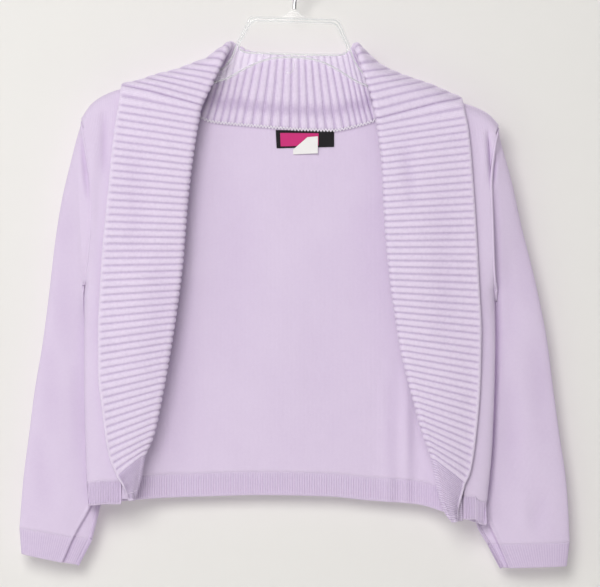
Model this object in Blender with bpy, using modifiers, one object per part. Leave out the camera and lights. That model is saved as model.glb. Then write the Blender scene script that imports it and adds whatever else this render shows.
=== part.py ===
"""An open cardigan with a wide shawl collar, hanging on a clear hanger.

The garment faces -Y and hangs flat. The origin is where the hook bears on a rail.
Sizes in the tables are millimetres. Right and left are the wearer's.

Most of the cloth is laid out with two measures: x across, and w, the distance round the
shoulder from its top line, below zero on the front and above zero on the back.
"""

import math

import bmesh
import bpy
import numpy as np

MM = 0.001
RIGHT = -1
LEFT = 1

SEAM_GAP = 0.5
SIDE_GAP = 0.45
NECK_GAP = 1.0
CUFF_GAP = 0.9
PANEL_WALL = 2.0
RIB_WALL = 3.0
RIB_GROOVE = 0.55
RING_POINTS = 20

# Depth of the hanging body: a half round over the shoulder between two flat walls.
SHOULDER_RADIUS = 12.0
SHOULDER_DEPTH = -3.0
QUARTER = SHOULDER_RADIUS * math.pi / 2
BACK_DEPTH = SHOULDER_DEPTH + SHOULDER_RADIUS
FRONT_DEPTH = SHOULDER_DEPTH - SHOULDER_RADIUS
HEM_HEIGHT = 24.0
SHOULDER_ROWS = np.array([0.25, 6.3, 12.6, QUARTER])
FRONT_COLUMNS = np.array([0, 0.05, 0.12, 0.24, 0.45, 0.72, 1.0])
FRONT_ROWS = np.array(
    [0.03, 0.07, 0.13, 0.2, 0.28, 0.37, 0.46, 0.55, 0.64, 0.73, 0.82, 0.91, 1]
)
BACK_ROWS = np.linspace(0, 1, 14)[1:]
SLEEVE_ROWS = 14
BACK_SHOULDER_COLUMNS = np.array([0, 0.05, 0.15, 0.3, 0.5, 0.75, 1])
BACK_NECK_COLUMNS = np.array(
    [0.015, 0.035, 0.06, 0.09, 0.12, 0.16, 0.23, 0.34, 0.5, 0.65, 0.72, 0.79, 0.84, 0.89]
    + [0.93, 0.96, 0.98]
)

# The armhole shuts over this height above the underarm. Below it the side seam comes forward.
ARMHOLE_CLOSE = 45.0
SIDE_DEPTH = -4.0
SIDE_FORWARD = 5.0
SIDE_FADE = 60.0
FRONT_ROUND = 14.0

# The back goes from the side seam to its own depth: where the slope starts and how wide it
# is, each at the underarm and what is added below it. Then a step close to the seam.
BACK_START = (2, 22)
BACK_SLOPE = (40, 24)
STEP_DEPTH = 1.6
STEP_WIDTH = 4

# Sleeve's clearance of the body at the armhole, how far out its ring is there, and what is
# added to that at the underarm. The power makes the folds of a sleeve less pointed.
ARMHOLE_GAP = 0.6
ARMHOLE_OUT = 1.45
UNDERARM_OUT = 2.2
FOLD_POWER = 0.7

# Soft upright folds low on the back: x of the middle, half width, depth.
BACK_FOLDS = ((98, 9, 1.6), (115, 7, 2.2))
FOLD_TOP = -420.0
FOLD_FADE = 90.0

# Top line of the shoulder, inside face: x, z.
SHOULDER_LINE = {
    RIGHT: [
        (-226, -178), (-223, -174), (-214, -161), (-202, -152), (-184, -145),
        (-164, -141), (-147, -135.3), (-125, -129.5), (-107, -122.5), (-92, -117),
        (-84, -110.5), (-75, -104.5), (-66, -97), (-56, -90.5), (-33, -90), (4, -92.5),
    ],
    LEFT: [
        (4, -92.5), (34, -92), (52, -93), (62, -100), (70, -108), (78, -116), (88, -124),
        (104, -132), (122, -139), (141, -145.5), (156, -152), (172, -158.5), (188, -164),
        (201, -171), (211, -182), (213, -185),
    ],
}

# Side edge of the body, inside face: z, x. The armhole ends at the underarm.
BODY_SIDE = {
    RIGHT: [
        (-178, -223.5), (-192, -221), (-217, -217), (-247, -213), (-275, -213),
        (-321, -216), (-364, -220), (-441, -220), (-499, -219), (-556, -217), (-580, -216),
    ],
    LEFT: [
        (-185, 211), (-203, 207), (-245, 203), (-275, 204), (-308, 205), (-404, 207),
        (-511, 204), (-579, 198), (-600, 196),
    ],
}
UNDERARM = {RIGHT: -347.0, LEFT: -352.0}

# Edge of each front, where the collar is sewn on: z, x.
FRONT_EDGE = {
    RIGHT: [
        (-131, -130), (-150, -144), (-181, -150), (-259, -159), (-364, -167),
        (-469, -174), (-528, -177), (-580, -178),
    ],
    LEFT: [
        (-139, 122), (-160, 134), (-219, 140), (-312, 146), (-364, 150), (-417, 155),
        (-469, 160), (-501, 162), (-529, 165), (-600, 167),
    ],
}

# Neck seam across the back: x, z.
NECK_SEAM = [
    (-130, -131), (-122, -147), (-111, -163), (-92, -176), (-69, -179), (-34, -182),
    (4, -185), (40, -186), (57, -183), (79, -177), (99, -167), (111, -154), (122, -139),
]

# Lower edge of the body: x, z.
HEM_LINE = [
    (-222, -578), (-168, -573.5), (-101, -571), (-39, -569.5), (35, -571), (75, -575),
    (129, -579), (162, -587), (200, -598),
]
FRONT_HEM_LINE = {
    RIGHT: [(-222, -579), (-178, -577)],
    LEFT: [(165, -591), (180, -597), (200, -599)],
}

# Sleeves, inside face: a row for each ring, from the shoulder to the cuff.
# Outer fold x, z, inner fold x, z, depth of the outer and inner fold, half the thickness.
SLEEVE_RINGS = {
    RIGHT: [
        (-230, -195, -222.5, -362, -2.0, 1.5, 11.0),
        (-237, -222, -221.5, -384, 0.0, 5.0, 10.5),
        (-244, -259, -218, -412, 2.5, 7.5, 10.0),
        (-251, -301, -213, -443, 4.5, 8.5, 9.5),
        (-257, -359, -207, -478, 6.5, 8.5, 9.0),
        (-265, -412, -204, -511, 7.0, 8.0, 8.5),
        (-272, -459, -204, -543, 7.0, 7.5, 8.0),
        (-278, -506, -206, -571, 7.0, 7.0, 7.5),
        (-284, -553, -210, -592, 6.5, 6.5, 7.0),
        (-289, -604, -216, -616, 6.0, 6.0, 6.5),
    ],
    LEFT: [
        (215, -200, 209.5, -368, -2.0, 1.5, 11.0),
        (226, -238, 208.5, -390, 0.0, 5.0, 10.5),
        (236, -287, 205.5, -418, 2.5, 7.5, 10.0),
        (249, -342, 201, -450, 4.5, 8.5, 9.5),
        (261, -405, 195, -485, 6.5, 8.5, 9.0),
        (268, -459, 190, -520, 7.0, 8.0, 8.5),
        (274, -511, 188, -552, 7.0, 7.5, 8.0),
        (279, -543, 188, -580, 7.0, 7.0, 7.5),
        (283, -575, 192, -602, 6.5, 6.5, 7.0),
        (286, -619, 203, -621, 6.0, 6.0, 6.5),
    ],
}
CUFF_END = {
    RIGHT: (-287, -631, -230, -643, 6.0, 6.0, 6.5),
    LEFT: (284, -644, 216, -646, 6.0, 6.0, 6.5),
}

# Collar round the neck: a row for every few ribs, counted from the middle of the back.
# Rib, then x and w of the roll and of the free edge, then roll radius.
COLLAR_NECK = {
    RIGHT: [
        (0, 3, 21.0, 4, 108, 2.0),
        (5, -33, 20.5, -48, 106, 2.0),
        (8, -53, 16.0, -80, 95, 2.0),
        (10, -64, 5.0, -108, 74, 2.0),
        (12, -70, -8.0, -130, 56, 1.8),
        (14, -76, -17.0, -150, 41, 1.8),
        (16, -82, -25.0, -163, 28, 2.0),
        (18, -88, -33.0, -173, 15, 2.4),
        (21, -98, -47.0, -182, -1, 3.0),
    ],
    LEFT: [
        (0, 3, 21.0, 4, 108, 2.0),
        (5, 36, 20.5, 50, 106, 2.0),
        (8, 53, 16.0, 78, 90, 2.0),
        (10, 59, 6.0, 104, 72, 2.0),
        (12, 62, -8.0, 126, 54, 1.8),
        (14, 67, -19.0, 144, 40, 1.8),
        (16, 72, -29.0, 156, 27, 2.0),
        (18, 77, -38.0, 165, 14, 2.4),
        (21, 83, -52.0, 173, -1, 3.0),
    ],
}
NECK_RIBS = 21
NECK_MIDDLE = 4
NECK_END_Z = {RIGHT: -150, LEFT: -160}
NECK_INSET = 1.5
NECK_TURN = 4
FRONT_GAP = 2.0
BACK_RIBS = 10
LAPEL_RIBS = 53
POINT_ROWS = 4
POINT_RAISED = 0.3
END_TRIM = 0.1

# Shares of a rib's length at which it has points, from the seam to the roll and back.
NECK_STEPS = {"under": (0, 0.3, 0.65, 1), "fall": (0, 0.2, 0.4, 0.6, 0.8, 1)}
LAPEL_STEPS = {"under": (0, 1), "fall": (0, 0.4, 0.8, 1)}

# Lapels: lines of the roll and of the free edge, x, z, to the last coarse rib,
# and then along the fine ribbed point at the hem.
LAPEL_ROLL = {
    RIGHT: [
        (-98, -161), (-105, -201), (-112, -257), (-118, -330), (-124, -376),
        (-131, -421), (-139, -465), (-148, -504), (-157, -523),
    ],
    LEFT: [
        (83, -174), (89, -222), (92, -281), (97, -337), (102, -375), (109, -417),
        (122, -469), (131, -501), (141, -527),
    ],
}
LAPEL_EDGE = {
    RIGHT: [
        (-182, -145.4), (-189, -188), (-197, -265), (-201, -306), (-204, -354),
        (-206, -396), (-206, -440), (-202, -477), (-195, -525), (-186, -549),
    ],
    LEFT: [
        (173, -159.5), (179, -183), (185, -249), (189, -313), (191, -354), (193, -396),
        (192, -448), (188, -501), (181, -545), (176, -556),
    ],
}
POINT_ROLL = {
    RIGHT: [(-157, -523), (-161, -547), (-168, -570)],
    LEFT: [(141, -527), (148, -564), (155, -585), (162, -594)],
}
POINT_EDGE = {
    RIGHT: [(-186, -549), (-180, -558), (-171, -573)],
    LEFT: [(176, -556), (174, -564), (170, -578), (166, -595)],
}
LAPEL_RADIUS = 3.0
LAPEL_PUFF = 2.2
PUFF_ROWS = 14
PUFF_REACH = 1.15
FALL_LIFT = 4.7
UNDER_LIFT = 1.0
ROLL_SHARE = 0.25

# Hanger: outline of one half, x out from the middle, z, before the tilt.
HANGER_TILT = math.radians(-1.6)
HANGER_THICK = 5.0
HANGER_BEVEL = 1.0
GUSSET_THICK = 2.6
GUSSET_BEVEL = 0.4
HANGER_MIDDLE = -2.0
HANGER_TOP = -68.5
HANGER_OUTLINE = [
    (0, 0), (44, 0), (47, -1.5), (48.5, -4), (60, -29), (64.5, -43), (73, -54.5), (84, -60),
    (102, -67), (120, -74), (130, -77), (147, -82), (166, -87), (186, -92), (198, -100),
    (205, -108), (208, -114), (205, -118), (200, -116), (190, -107), (176, -100),
    (150, -91), (120, -83), (90, -73), (68, -66), (48, -54), (34, -47), (20, -43), (0, -41.5),
]
HANGER_HOLE = [
    (0, -4.5), (42, -4.5), (44.5, -6), (56, -29), (57, -34), (50, -37), (34, -37.3), (0, -37.3),
]
GUSSET_TOP = 9
GUSSET = [
    (-14, 0.5), (-6, 5), (-3.2, GUSSET_TOP), (3.2, GUSSET_TOP), (6, 5), (14, 0.5), (14, -2),
    (-14, -2),
]
WIRE = 4.6
HOOK_RADIUS = 17.0
HOOK_STEM = 12.0
STEM_RISE = 0.7
STEM_LEAN = 0.8
HOOK_NECK = [(0, -43), (3.5, -38.5)]
HOOK_FROM = -62
HOOK_TO = 215
HOOK_POINTS = 30
SMALL_HOOK = [(0, -40), (0.6, -49), (0, -55), (-3, -58), (-7, -57)]
SMALL_HOOK_WIRE = 2.4

# Labels inside the back neck: x, z of the corners.
LABEL = [(-21.5, -185.5), (40, -186), (40, -203), (-21, -204.5)]
SIZE_LABEL = [(12, -193), (23, -192), (23, -210), (-3, -211), (-3, -206)]
LABEL_WALL = 0.8
LABEL_LIFT = 0.5

# Red, green and blue, roughness, metallic.
COLOURS = {
    "knit": (0.66, 0.56, 0.74, 0.92, 0.0),
    "rib": (0.64, 0.54, 0.73, 0.92, 0.0),
    "label": (0.012, 0.011, 0.013, 0.75, 0.0),
    "paper": (0.82, 0.81, 0.80, 0.8, 0.0),
    "plastic": (0.80, 0.80, 0.79, 0.18, 0.0),
    "chrome": (0.72, 0.72, 0.73, 0.16, 1.0),
}


def through(knots, values, at):
    """Smooth line through a table, one that never swings past its rows."""
    knots = np.asarray(knots, float)
    values = np.asarray(values, float)
    flat = values.ndim == 1
    if flat:
        values = values[:, None]
    if knots[0] > knots[-1]:
        knots = knots[::-1]
        values = values[::-1]
    at = np.clip(np.asarray(at, float), knots[0], knots[-1])
    step = np.diff(knots)[:, None]
    slope = np.diff(values, axis=0) / step
    before, after = slope[:-1], slope[1:]
    same = before * after > 1e-12
    heavy = 2 * step[1:] + step[:-1]
    light = step[1:] + 2 * step[:-1]
    safe_before = np.where(same, before, 1.0)
    safe_after = np.where(same, after, 1.0)
    mean = (heavy + light) / (heavy / safe_before + light / safe_after)
    tangent = np.vstack([slope[:1], np.where(same, mean, 0.0), slope[-1:]])
    cell = np.clip(np.searchsorted(knots, at, side="right") - 1, 0, len(knots) - 2)
    t = ((at - knots[cell]) / step[cell, 0])[..., None]
    low, high = values[cell], values[cell + 1]
    rise, fall = tangent[cell] * step[cell], tangent[cell + 1] * step[cell]
    made = (
        low * (2 * t**3 - 3 * t**2 + 1)
        + rise * (t**3 - 2 * t**2 + t)
        + high * (3 * t**2 - 2 * t**3)
        + fall * (t**3 - t**2)
    )
    return made[..., 0] if flat else made


def column(table, index):
    return [row[index] for row in table]


def table_line(table, at):
    """Second column of a two-column table, read at values of the first."""
    return through(column(table, 0), column(table, 1), at)


def along(points, shares):
    """Points of a line at shares of its length."""
    points = np.asarray(points, float)
    length = np.concatenate([[0], np.cumsum(np.linalg.norm(np.diff(points, axis=0), axis=1))])
    return through(length / length[-1], points, shares)


def smooth(t):
    t = np.clip(t, 0, 1)
    return t * t * (3 - 2 * t)


def quarter_round(t):
    """0 at 0, 1 from 1 on, rising steeply like a quarter circle."""
    return np.sqrt(1 - (1 - np.clip(t, 0, 1)) ** 2)


def shoulder_z(x):
    table = SHOULDER_LINE[RIGHT] + SHOULDER_LINE[LEFT][1:]
    return table_line(table, x)


def round_distance(x, z):
    """w of a point of the front or back that lies at this height, as a distance from 0."""
    drop = shoulder_z(x) - z
    bend = np.arccos(np.clip(1 - drop / SHOULDER_RADIUS, 0, 1)) * SHOULDER_RADIUS
    return np.where(drop < SHOULDER_RADIUS, bend, QUARTER + drop - SHOULDER_RADIUS)


def neck_seam_z(x, gap):
    """Height of the back neck seam, moved square to itself by gap, up if above zero."""
    slope = (table_line(NECK_SEAM, x + 1) - table_line(NECK_SEAM, x - 1)) / 2
    return table_line(NECK_SEAM, x) + gap * np.sqrt(1 + slope**2)


def on_shoulder(x, w, lift):
    """Point at x and w, moved out of the shoulder's inside face by lift."""
    turn = np.clip(w / SHOULDER_RADIUS, -math.pi / 2, math.pi / 2)
    radius = SHOULDER_RADIUS + lift
    down = np.clip(np.abs(w) - QUARTER, 0, None)
    y = SHOULDER_DEPTH + radius * np.sin(turn)
    z = shoulder_z(x) + lift - radius * (1 - np.cos(turn)) - down
    return np.stack([x + 0 * y, y, z], axis=-1)


def closing(side, z):
    """0 in the open armhole, rising to 1 at the underarm and below it."""
    return 1 - quarter_round((z - UNDERARM[side]) / ARMHOLE_CLOSE)


def side_depth(side, z):
    """Depth of the side seam, which comes forward below the underarm."""
    return SIDE_DEPTH - SIDE_FORWARD * smooth((UNDERARM[side] - z) / SIDE_FADE)


def front_depth(side, x, z, y):
    """Flat front that rounds back to the side seam."""
    inward = np.abs(x - table_line(BODY_SIDE[side], z))
    lack = (1 - quarter_round(inward / FRONT_ROUND)) * closing(side, z)
    return y + (side_depth(side, z) - SIDE_GAP - FRONT_DEPTH) * lack


def back_depth(x, z, y):
    """Flat back that comes forward near each side, where the sleeve hangs behind it."""
    for side in (RIGHT, LEFT):
        inward = side * (table_line(BODY_SIDE[side], z) - x)
        below = smooth((UNDERARM[side] - z) / SIDE_FADE)
        start = BACK_START[0] + BACK_START[1] * below
        ramp = smooth((inward - start) / (BACK_SLOPE[0] + BACK_SLOPE[1] * below))
        seam = side_depth(side, z) + SIDE_GAP
        near = seam + STEP_DEPTH * quarter_round(inward / STEP_WIDTH)
        wanted = near + (BACK_DEPTH - near) * ramp
        y = y + (wanted - BACK_DEPTH) * closing(side, z)
    for middle, width, depth in BACK_FOLDS:
        low = smooth((FOLD_TOP - z) / FOLD_FADE)
        y = y - depth * low * np.exp(-(((x - middle) / width) ** 2))
    return y


def mesh_object(name, points, wrap, flip, colour):
    """Object whose faces join a grid of points in millimetres."""
    rows, columns = points.shape[:2]
    index = np.arange(rows * columns).reshape(rows, columns)
    if wrap:
        index = np.hstack([index, index[:, :1]])
    corners = np.stack([index[:-1, :-1], index[:-1, 1:], index[1:, 1:], index[1:, :-1]], axis=-1)
    faces = corners.reshape(-1, 4)
    if flip:
        faces = faces[:, ::-1]
    mesh = bpy.data.meshes.new(name)
    mesh.from_pydata((points.reshape(-1, 3) * MM).tolist(), [], faces.tolist())
    mesh.shade_smooth()
    return new_object(name, mesh, colour)


def new_object(name, data, colour):
    made = bpy.data.objects.new(name, data)
    garment.objects.link(made)
    data.materials.append(material(colour))
    return made


def material(colour):
    found = bpy.data.materials.get(colour)
    if found:
        return found
    made = bpy.data.materials.new(colour)
    made.use_nodes = True
    red, green, blue, roughness, metallic = COLOURS[colour]
    shader = made.node_tree.nodes["Principled BSDF"]
    shader.inputs["Base Color"].default_value = (red, green, blue, 1)
    shader.inputs["Roughness"].default_value = roughness
    shader.inputs["Metallic"].default_value = metallic
    return made


def cloth(name, points, wall, flip=False, wrap=False, raised=None, colour="knit"):
    """Open surface, its inside face, given a wall on its outer side."""
    made = mesh_object(name, points, wrap, flip, colour)
    thicken = made.modifiers.new("wall", "SOLIDIFY")
    thicken.thickness = wall * MM
    thicken.offset = 1
    if raised is not None:
        group = made.vertex_groups.new(name="ribs")
        for number, share in enumerate(raised.reshape(-1)):
            group.add([number], float(share), "REPLACE")
        thicken.vertex_group = "ribs"
        thicken.thickness_vertex_group = RIB_GROOVE
    return made


def shoulder_drop(around):
    """How far the cloth has come down at a distance round the shoulder."""
    return SHOULDER_RADIUS * (1 - math.cos(around / SHOULDER_RADIUS))


def shoulder_tip(side):
    return SHOULDER_LINE[side][0 if side == RIGHT else -1]


def front_grid(side):
    """Points of one front from the shoulder seam to its hem band."""
    rows = []
    for around in SHOULDER_ROWS:
        drop = shoulder_drop(around)
        outer = table_line(BODY_SIDE[side], shoulder_tip(side)[1] - drop)
        inner = table_line(FRONT_EDGE[side], FRONT_EDGE[side][0][0] - drop)
        x = outer + (inner - outer) * FRONT_COLUMNS
        rows.append(on_shoulder(x, np.full_like(x, -around), 0.0))
    start_x, start_z = rows[-1][:, 0], rows[-1][:, 2]
    for share in FRONT_ROWS:
        hem = table_line(FRONT_HEM_LINE[side], start_x) + HEM_HEIGHT + SEAM_GAP
        z = start_z + (hem - start_z) * share
        outer = table_line(BODY_SIDE[side], z[0])
        inner = table_line(FRONT_EDGE[side], z[-1])
        x = outer + (inner - outer) * FRONT_COLUMNS
        y = front_depth(side, x, z, np.full_like(x, FRONT_DEPTH))
        rows.append(np.stack([x, y, z], axis=-1))
    return np.array(rows)


def band_grid(panel, depth):
    """Hem band that carries a panel's last row down to the lower edge."""
    x = panel[-1][:, 0]
    top = panel[-1][:, 2] - SEAM_GAP
    return np.array([np.stack([x, depth(x, z), z], axis=-1) for z in (top, top - HEM_HEIGHT)])


def back_grid():
    """Points of the back from the shoulder and neck seams to its hem band."""
    neck_right = FRONT_EDGE[RIGHT][0][1]
    neck_left = FRONT_EDGE[LEFT][0][1]

    def across(z_right, z_left):
        right = table_line(BODY_SIDE[RIGHT], z_right)
        left = table_line(BODY_SIDE[LEFT], z_left)
        first = right + (neck_right - right) * BACK_SHOULDER_COLUMNS
        last = left + (neck_left - left) * BACK_SHOULDER_COLUMNS[::-1]
        middle = neck_right + (neck_left - neck_right) * BACK_NECK_COLUMNS
        return np.concatenate([first, middle, last])

    rows = []
    for around in SHOULDER_ROWS:
        drop = shoulder_drop(around)
        x = across(shoulder_tip(RIGHT)[1] - drop, shoulder_tip(LEFT)[1] - drop)
        in_neck = (x > neck_right + 0.1) & (x < neck_left - 0.1)
        top = np.where(in_neck, round_distance(x, neck_seam_z(x, -SEAM_GAP / 2)), SHOULDER_ROWS[0])
        last = np.maximum(QUARTER, top + SHOULDER_RADIUS)
        share = (around - SHOULDER_ROWS[0]) / (QUARTER - SHOULDER_ROWS[0])
        rows.append(on_shoulder(x, top + (last - top) * share, 0.0))
    start = rows[-1]
    hem = table_line(HEM_LINE, start[:, 0]) + HEM_HEIGHT + SEAM_GAP
    for share in BACK_ROWS:
        z = start[:, 2] + (hem - start[:, 2]) * share
        x = across(z[0], z[-1])
        y = back_depth(x, z, np.full_like(x, BACK_DEPTH))
        rows.append(np.stack([x, y, z], axis=-1))
    return np.array(rows)


def armhole_ring(side, turns):
    """Ring of the sleeve at the armhole, round the edges of front and back."""
    top = shoulder_tip(side)[1] - ARMHOLE_GAP
    low = UNDERARM[side] + ARMHOLE_GAP
    z = (top + low) / 2 + (top - low) / 2 * np.cos(turns)
    shut = closing(side, z)
    x = table_line(BODY_SIDE[side], z) + side * (ARMHOLE_OUT + UNDERARM_OUT * shut)
    swell = SHOULDER_RADIUS * quarter_round((top - z) / SHOULDER_RADIUS)
    seam = side_depth(side, z)
    front = (SHOULDER_DEPTH - swell) * (1 - shut) + (seam - ARMHOLE_GAP) * shut
    back = (SHOULDER_DEPTH + swell) * (1 - shut) + (seam + ARMHOLE_GAP) * shut
    y = np.where(np.sin(turns) >= 0, front, back)
    ends = np.abs(np.sin(turns)) < 1e-6
    y = np.where(ends, (front + back) / 2, y)
    return np.stack([x, y, z], axis=-1)


def fold_ring(row, turns):
    """Flattened ring between an outer and an inner fold."""
    outer_x, outer_z, inner_x, inner_z, outer_y, inner_y, half = row
    share = (1 - np.cos(turns)) / 2
    x = outer_x + (inner_x - outer_x) * share
    z = outer_z + (inner_z - outer_z) * share
    swell = np.sign(np.sin(turns)) * np.abs(np.sin(turns)) ** FOLD_POWER
    y = outer_y + (inner_y - outer_y) * share - half * swell
    return np.stack([x, y, z], axis=-1)


def ring_turns():
    return np.arange(RING_POINTS) * 2 * math.pi / RING_POINTS


def sleeve_grid(side):
    """Rings of a sleeve from the armhole to the cuff."""
    turns = ring_turns()
    table = SLEEVE_RINGS[side]
    rows = [armhole_ring(side, turns)]
    shares = np.linspace(0, len(table) - 1, SLEEVE_ROWS)
    for row in through(np.arange(len(table)), table, shares):
        rows.append(fold_ring(row, turns))
    return np.array(rows)


def cuff_grid(side):
    """Cuff from a gap below the sleeve's last ring to its end."""
    turns = ring_turns()
    start = np.array(SLEEVE_RINGS[side][-1], float)
    start[[1, 3]] -= CUFF_GAP
    end = np.array(CUFF_END[side], float)
    return np.array([fold_ring(row, turns) for row in (start, (start + end) / 2, end)])


def collar_section(seam, roll, edge, radius, puff, steps):
    """One rib from the seam to the free edge, round the roll. Inside face of the U.

    seam, roll and edge are (x, w). The rib is straight where the shoulder is unrolled.
    """
    seam, roll, edge = (np.asarray(point, float) for point in (seam, roll, edge))
    inward = roll - edge
    span = np.linalg.norm(inward)
    inward = inward / span
    radius = min(radius, ROLL_SHARE * span)
    centre = roll - inward * (RIB_WALL + radius)
    top_lift = UNDER_LIFT + 2 * radius
    points = []
    for share in steps["under"]:
        x, w = seam + (centre - seam) * share
        points.append(on_shoulder(x, w, UNDER_LIFT))
    x, w = centre + inward * radius
    points.append(on_shoulder(x, w, UNDER_LIFT + radius))
    for share in steps["fall"]:
        x, w = centre + (edge - centre) * share
        swell = puff * math.sin(math.pi * min(share * PUFF_REACH, 1)) if puff else 0
        lift = top_lift + (FALL_LIFT - top_lift) * share + swell
        points.append(on_shoulder(x, w, lift))
    return points


def rib_marks(first, last):
    """Positions at each groove and each crown between two ribs, and how far each is raised."""
    marks = np.arange(first * 2, last * 2 + 1) / 2
    raised = np.where(np.abs(marks - np.round(marks)) < 0.25, 0.0, 1.0)
    return marks, raised


def collar_strip(name, sections, raised, steps, flip):
    points = np.array([collar_section(*section, steps) for section in sections])
    raise_map = np.repeat(raised[:, None], points.shape[1], axis=1)
    return cloth(name, points, RIB_WALL, flip=flip, raised=raise_map, colour="rib")


def seam_line(side):
    """Neck seam and the top of the front edge, unrolled, just inside the panels' edges."""
    neck_z, neck_x = FRONT_EDGE[side][0]
    x = np.linspace(NECK_MIDDLE, neck_x - side * NECK_INSET, 40)
    back = np.stack([x, round_distance(x, neck_seam_z(x, NECK_GAP))], axis=-1)
    z = np.linspace(neck_z - NECK_TURN, NECK_END_Z[side], 12)
    x = table_line(FRONT_EDGE[side], z) - side * FRONT_GAP
    front = np.stack([x, -round_distance(x, z)], axis=-1)
    return np.vstack([back, front])


def neck_sections(side, marks):
    table = np.array(COLLAR_NECK[side], float)
    for place, line in ((1, LAPEL_ROLL[side]), (3, LAPEL_EDGE[side])):
        table[-1, place : place + 2] = front_points(line, np.zeros(1))[0]
    rows = through(table[:, 0], table[:, 1:], marks)
    seams = along(seam_line(side), np.asarray(marks) / NECK_RIBS)
    return [(seam, row[0:2], row[2:4], row[4], 0.0) for seam, row in zip(seams, rows)]


def build_collar_back():
    marks, raised = rib_marks(-BACK_RIBS, BACK_RIBS)
    sections = neck_sections(RIGHT, -marks[marks < 0]) + neck_sections(LEFT, marks[marks >= 0])
    collar_strip("collar_back", sections, raised, NECK_STEPS, True)


def trimmed(marks):
    """Ends of a strip of collar drawn in, so that it clears the next one at a groove."""
    marks = marks.copy()
    marks[0] += END_TRIM
    marks[-1] -= END_TRIM
    return marks


def build_collar_shoulder(side, name):
    marks, raised = rib_marks(BACK_RIBS, NECK_RIBS)
    sections = neck_sections(side, trimmed(marks))
    collar_strip(name, sections, raised, NECK_STEPS, side == LEFT)


def front_points(line, shares):
    """x and w of points of the front at shares of a line's length."""
    found = along(line, shares)
    return np.stack([found[:, 0], -round_distance(found[:, 0], found[:, 1])], axis=-1)


def seam_point(side, roll, edge):
    """x and w of the seam behind a rib of the lapel."""
    z = roll[1] + (edge[1] - roll[1]) * 0.5
    x = float(table_line(FRONT_EDGE[side], z)) - side * FRONT_GAP
    return np.array([x, -float(round_distance(x, z))])


def build_lapel(side, name):
    marks, raised = rib_marks(0, LAPEL_RIBS)
    shares = trimmed(marks) / LAPEL_RIBS
    lines = [(along(LAPEL_ROLL[side], shares), along(LAPEL_EDGE[side], shares))]
    fine = np.linspace(0, 1, POINT_ROWS + 1)[1:]
    lines.append((along(POINT_ROLL[side], fine), along(POINT_EDGE[side], fine)))
    raised = np.concatenate([raised, np.full(POINT_ROWS, POINT_RAISED)])
    sections = []
    for rolls, edges in lines:
        for roll, edge in zip(rolls, edges):
            puff = LAPEL_PUFF * smooth(len(sections) / PUFF_ROWS)
            roll_w = -float(round_distance(roll[0], roll[1]))
            edge_w = -float(round_distance(edge[0], edge[1]))
            seam = seam_point(side, roll, edge)
            section = (seam, (roll[0], roll_w), (edge[0], edge_w), LAPEL_RADIUS, puff)
            sections.append(section)
    collar_strip(name, sections, raised, LAPEL_STEPS, side == LEFT)


def tilted(x, z):
    """Hanger point turned about the foot of the hook."""
    turn = HANGER_TILT
    return (
        HANGER_MIDDLE + x * math.cos(turn) - z * math.sin(turn),
        HANGER_TOP + x * math.sin(turn) + z * math.cos(turn),
    )


def flat_shape(outlines, thick, bevel, colour):
    """Flat plate in the XZ plane from closed outlines, the later ones holes."""
    curve = bpy.data.curves.new("plate", "CURVE")
    curve.dimensions = "2D"
    curve.fill_mode = "BOTH"
    curve.extrude = (thick / 2 - bevel) * MM
    curve.bevel_depth = bevel * MM
    curve.bevel_resolution = 0
    for outline in outlines:
        line = curve.splines.new("POLY")
        line.points.add(len(outline) - 1)
        for point, (x, z) in zip(line.points, outline):
            point.co = (x * MM, z * MM, 0, 1)
        line.use_cyclic_u = True
    made = new_object("plate", curve, colour)
    made.rotation_euler = (math.pi / 2, 0, 0)
    return made


def as_mesh(made, name):
    """Mesh copy of a curve with its caps welded, in place of the curve."""
    colour = made.data.materials[0].name
    bpy.context.view_layer.update()
    graph = bpy.context.evaluated_depsgraph_get()
    mesh = bpy.data.meshes.new_from_object(made.evaluated_get(graph))
    mesh.transform(made.matrix_world)
    bpy.data.objects.remove(made)
    work = bmesh.new()
    work.from_mesh(mesh)
    bmesh.ops.remove_doubles(work, verts=work.verts, dist=1e-6)
    bmesh.ops.recalc_face_normals(work, faces=work.faces)
    work.to_mesh(mesh)
    work.free()
    mesh.name = name
    mesh.materials.clear()
    return new_object(name, mesh, colour)


def wire(name, points, thick, colour):
    curve = bpy.data.curves.new(name, "CURVE")
    curve.dimensions = "3D"
    curve.bevel_depth = thick / 2 * MM
    curve.bevel_resolution = 2
    curve.use_fill_caps = True
    line = curve.splines.new("POLY")
    line.points.add(len(points) - 1)
    for point, (x, y, z) in zip(line.points, points):
        point.co = (x * MM, y * MM, z * MM, 1)
    return new_object(name, curve, colour)


def build_hanger():
    outline = [tilted(x, z) for x, z in HANGER_OUTLINE]
    outline += [tilted(-x, z) for x, z in HANGER_OUTLINE[-2:0:-1]]
    hole = [tilted(x, z) for x, z in HANGER_HOLE]
    hole += [tilted(-x, z) for x, z in HANGER_HOLE[-2:0:-1]]
    frame = as_mesh(flat_shape([outline, hole], HANGER_THICK, HANGER_BEVEL, "plastic"), "hanger")
    gusset = [tilted(x, z) for x, z in GUSSET]
    web = as_mesh(flat_shape([gusset], GUSSET_THICK, GUSSET_BEVEL, "plastic"), "gusset")
    small = [(tilted(x, z)[0], 0, tilted(x, z)[1]) for x, z in SMALL_HOOK]
    catch = as_mesh(wire("catch", small, SMALL_HOOK_WIRE, "plastic"), "small_hook")
    for piece in (web, catch):
        garment.objects.unlink(piece)
        cutters.objects.link(piece)
        piece.hide_render = True
        piece.display_type = "WIRE"
        join = frame.modifiers.new(piece.name, "BOOLEAN")
        join.operation = "UNION"
        join.object = piece


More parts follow.
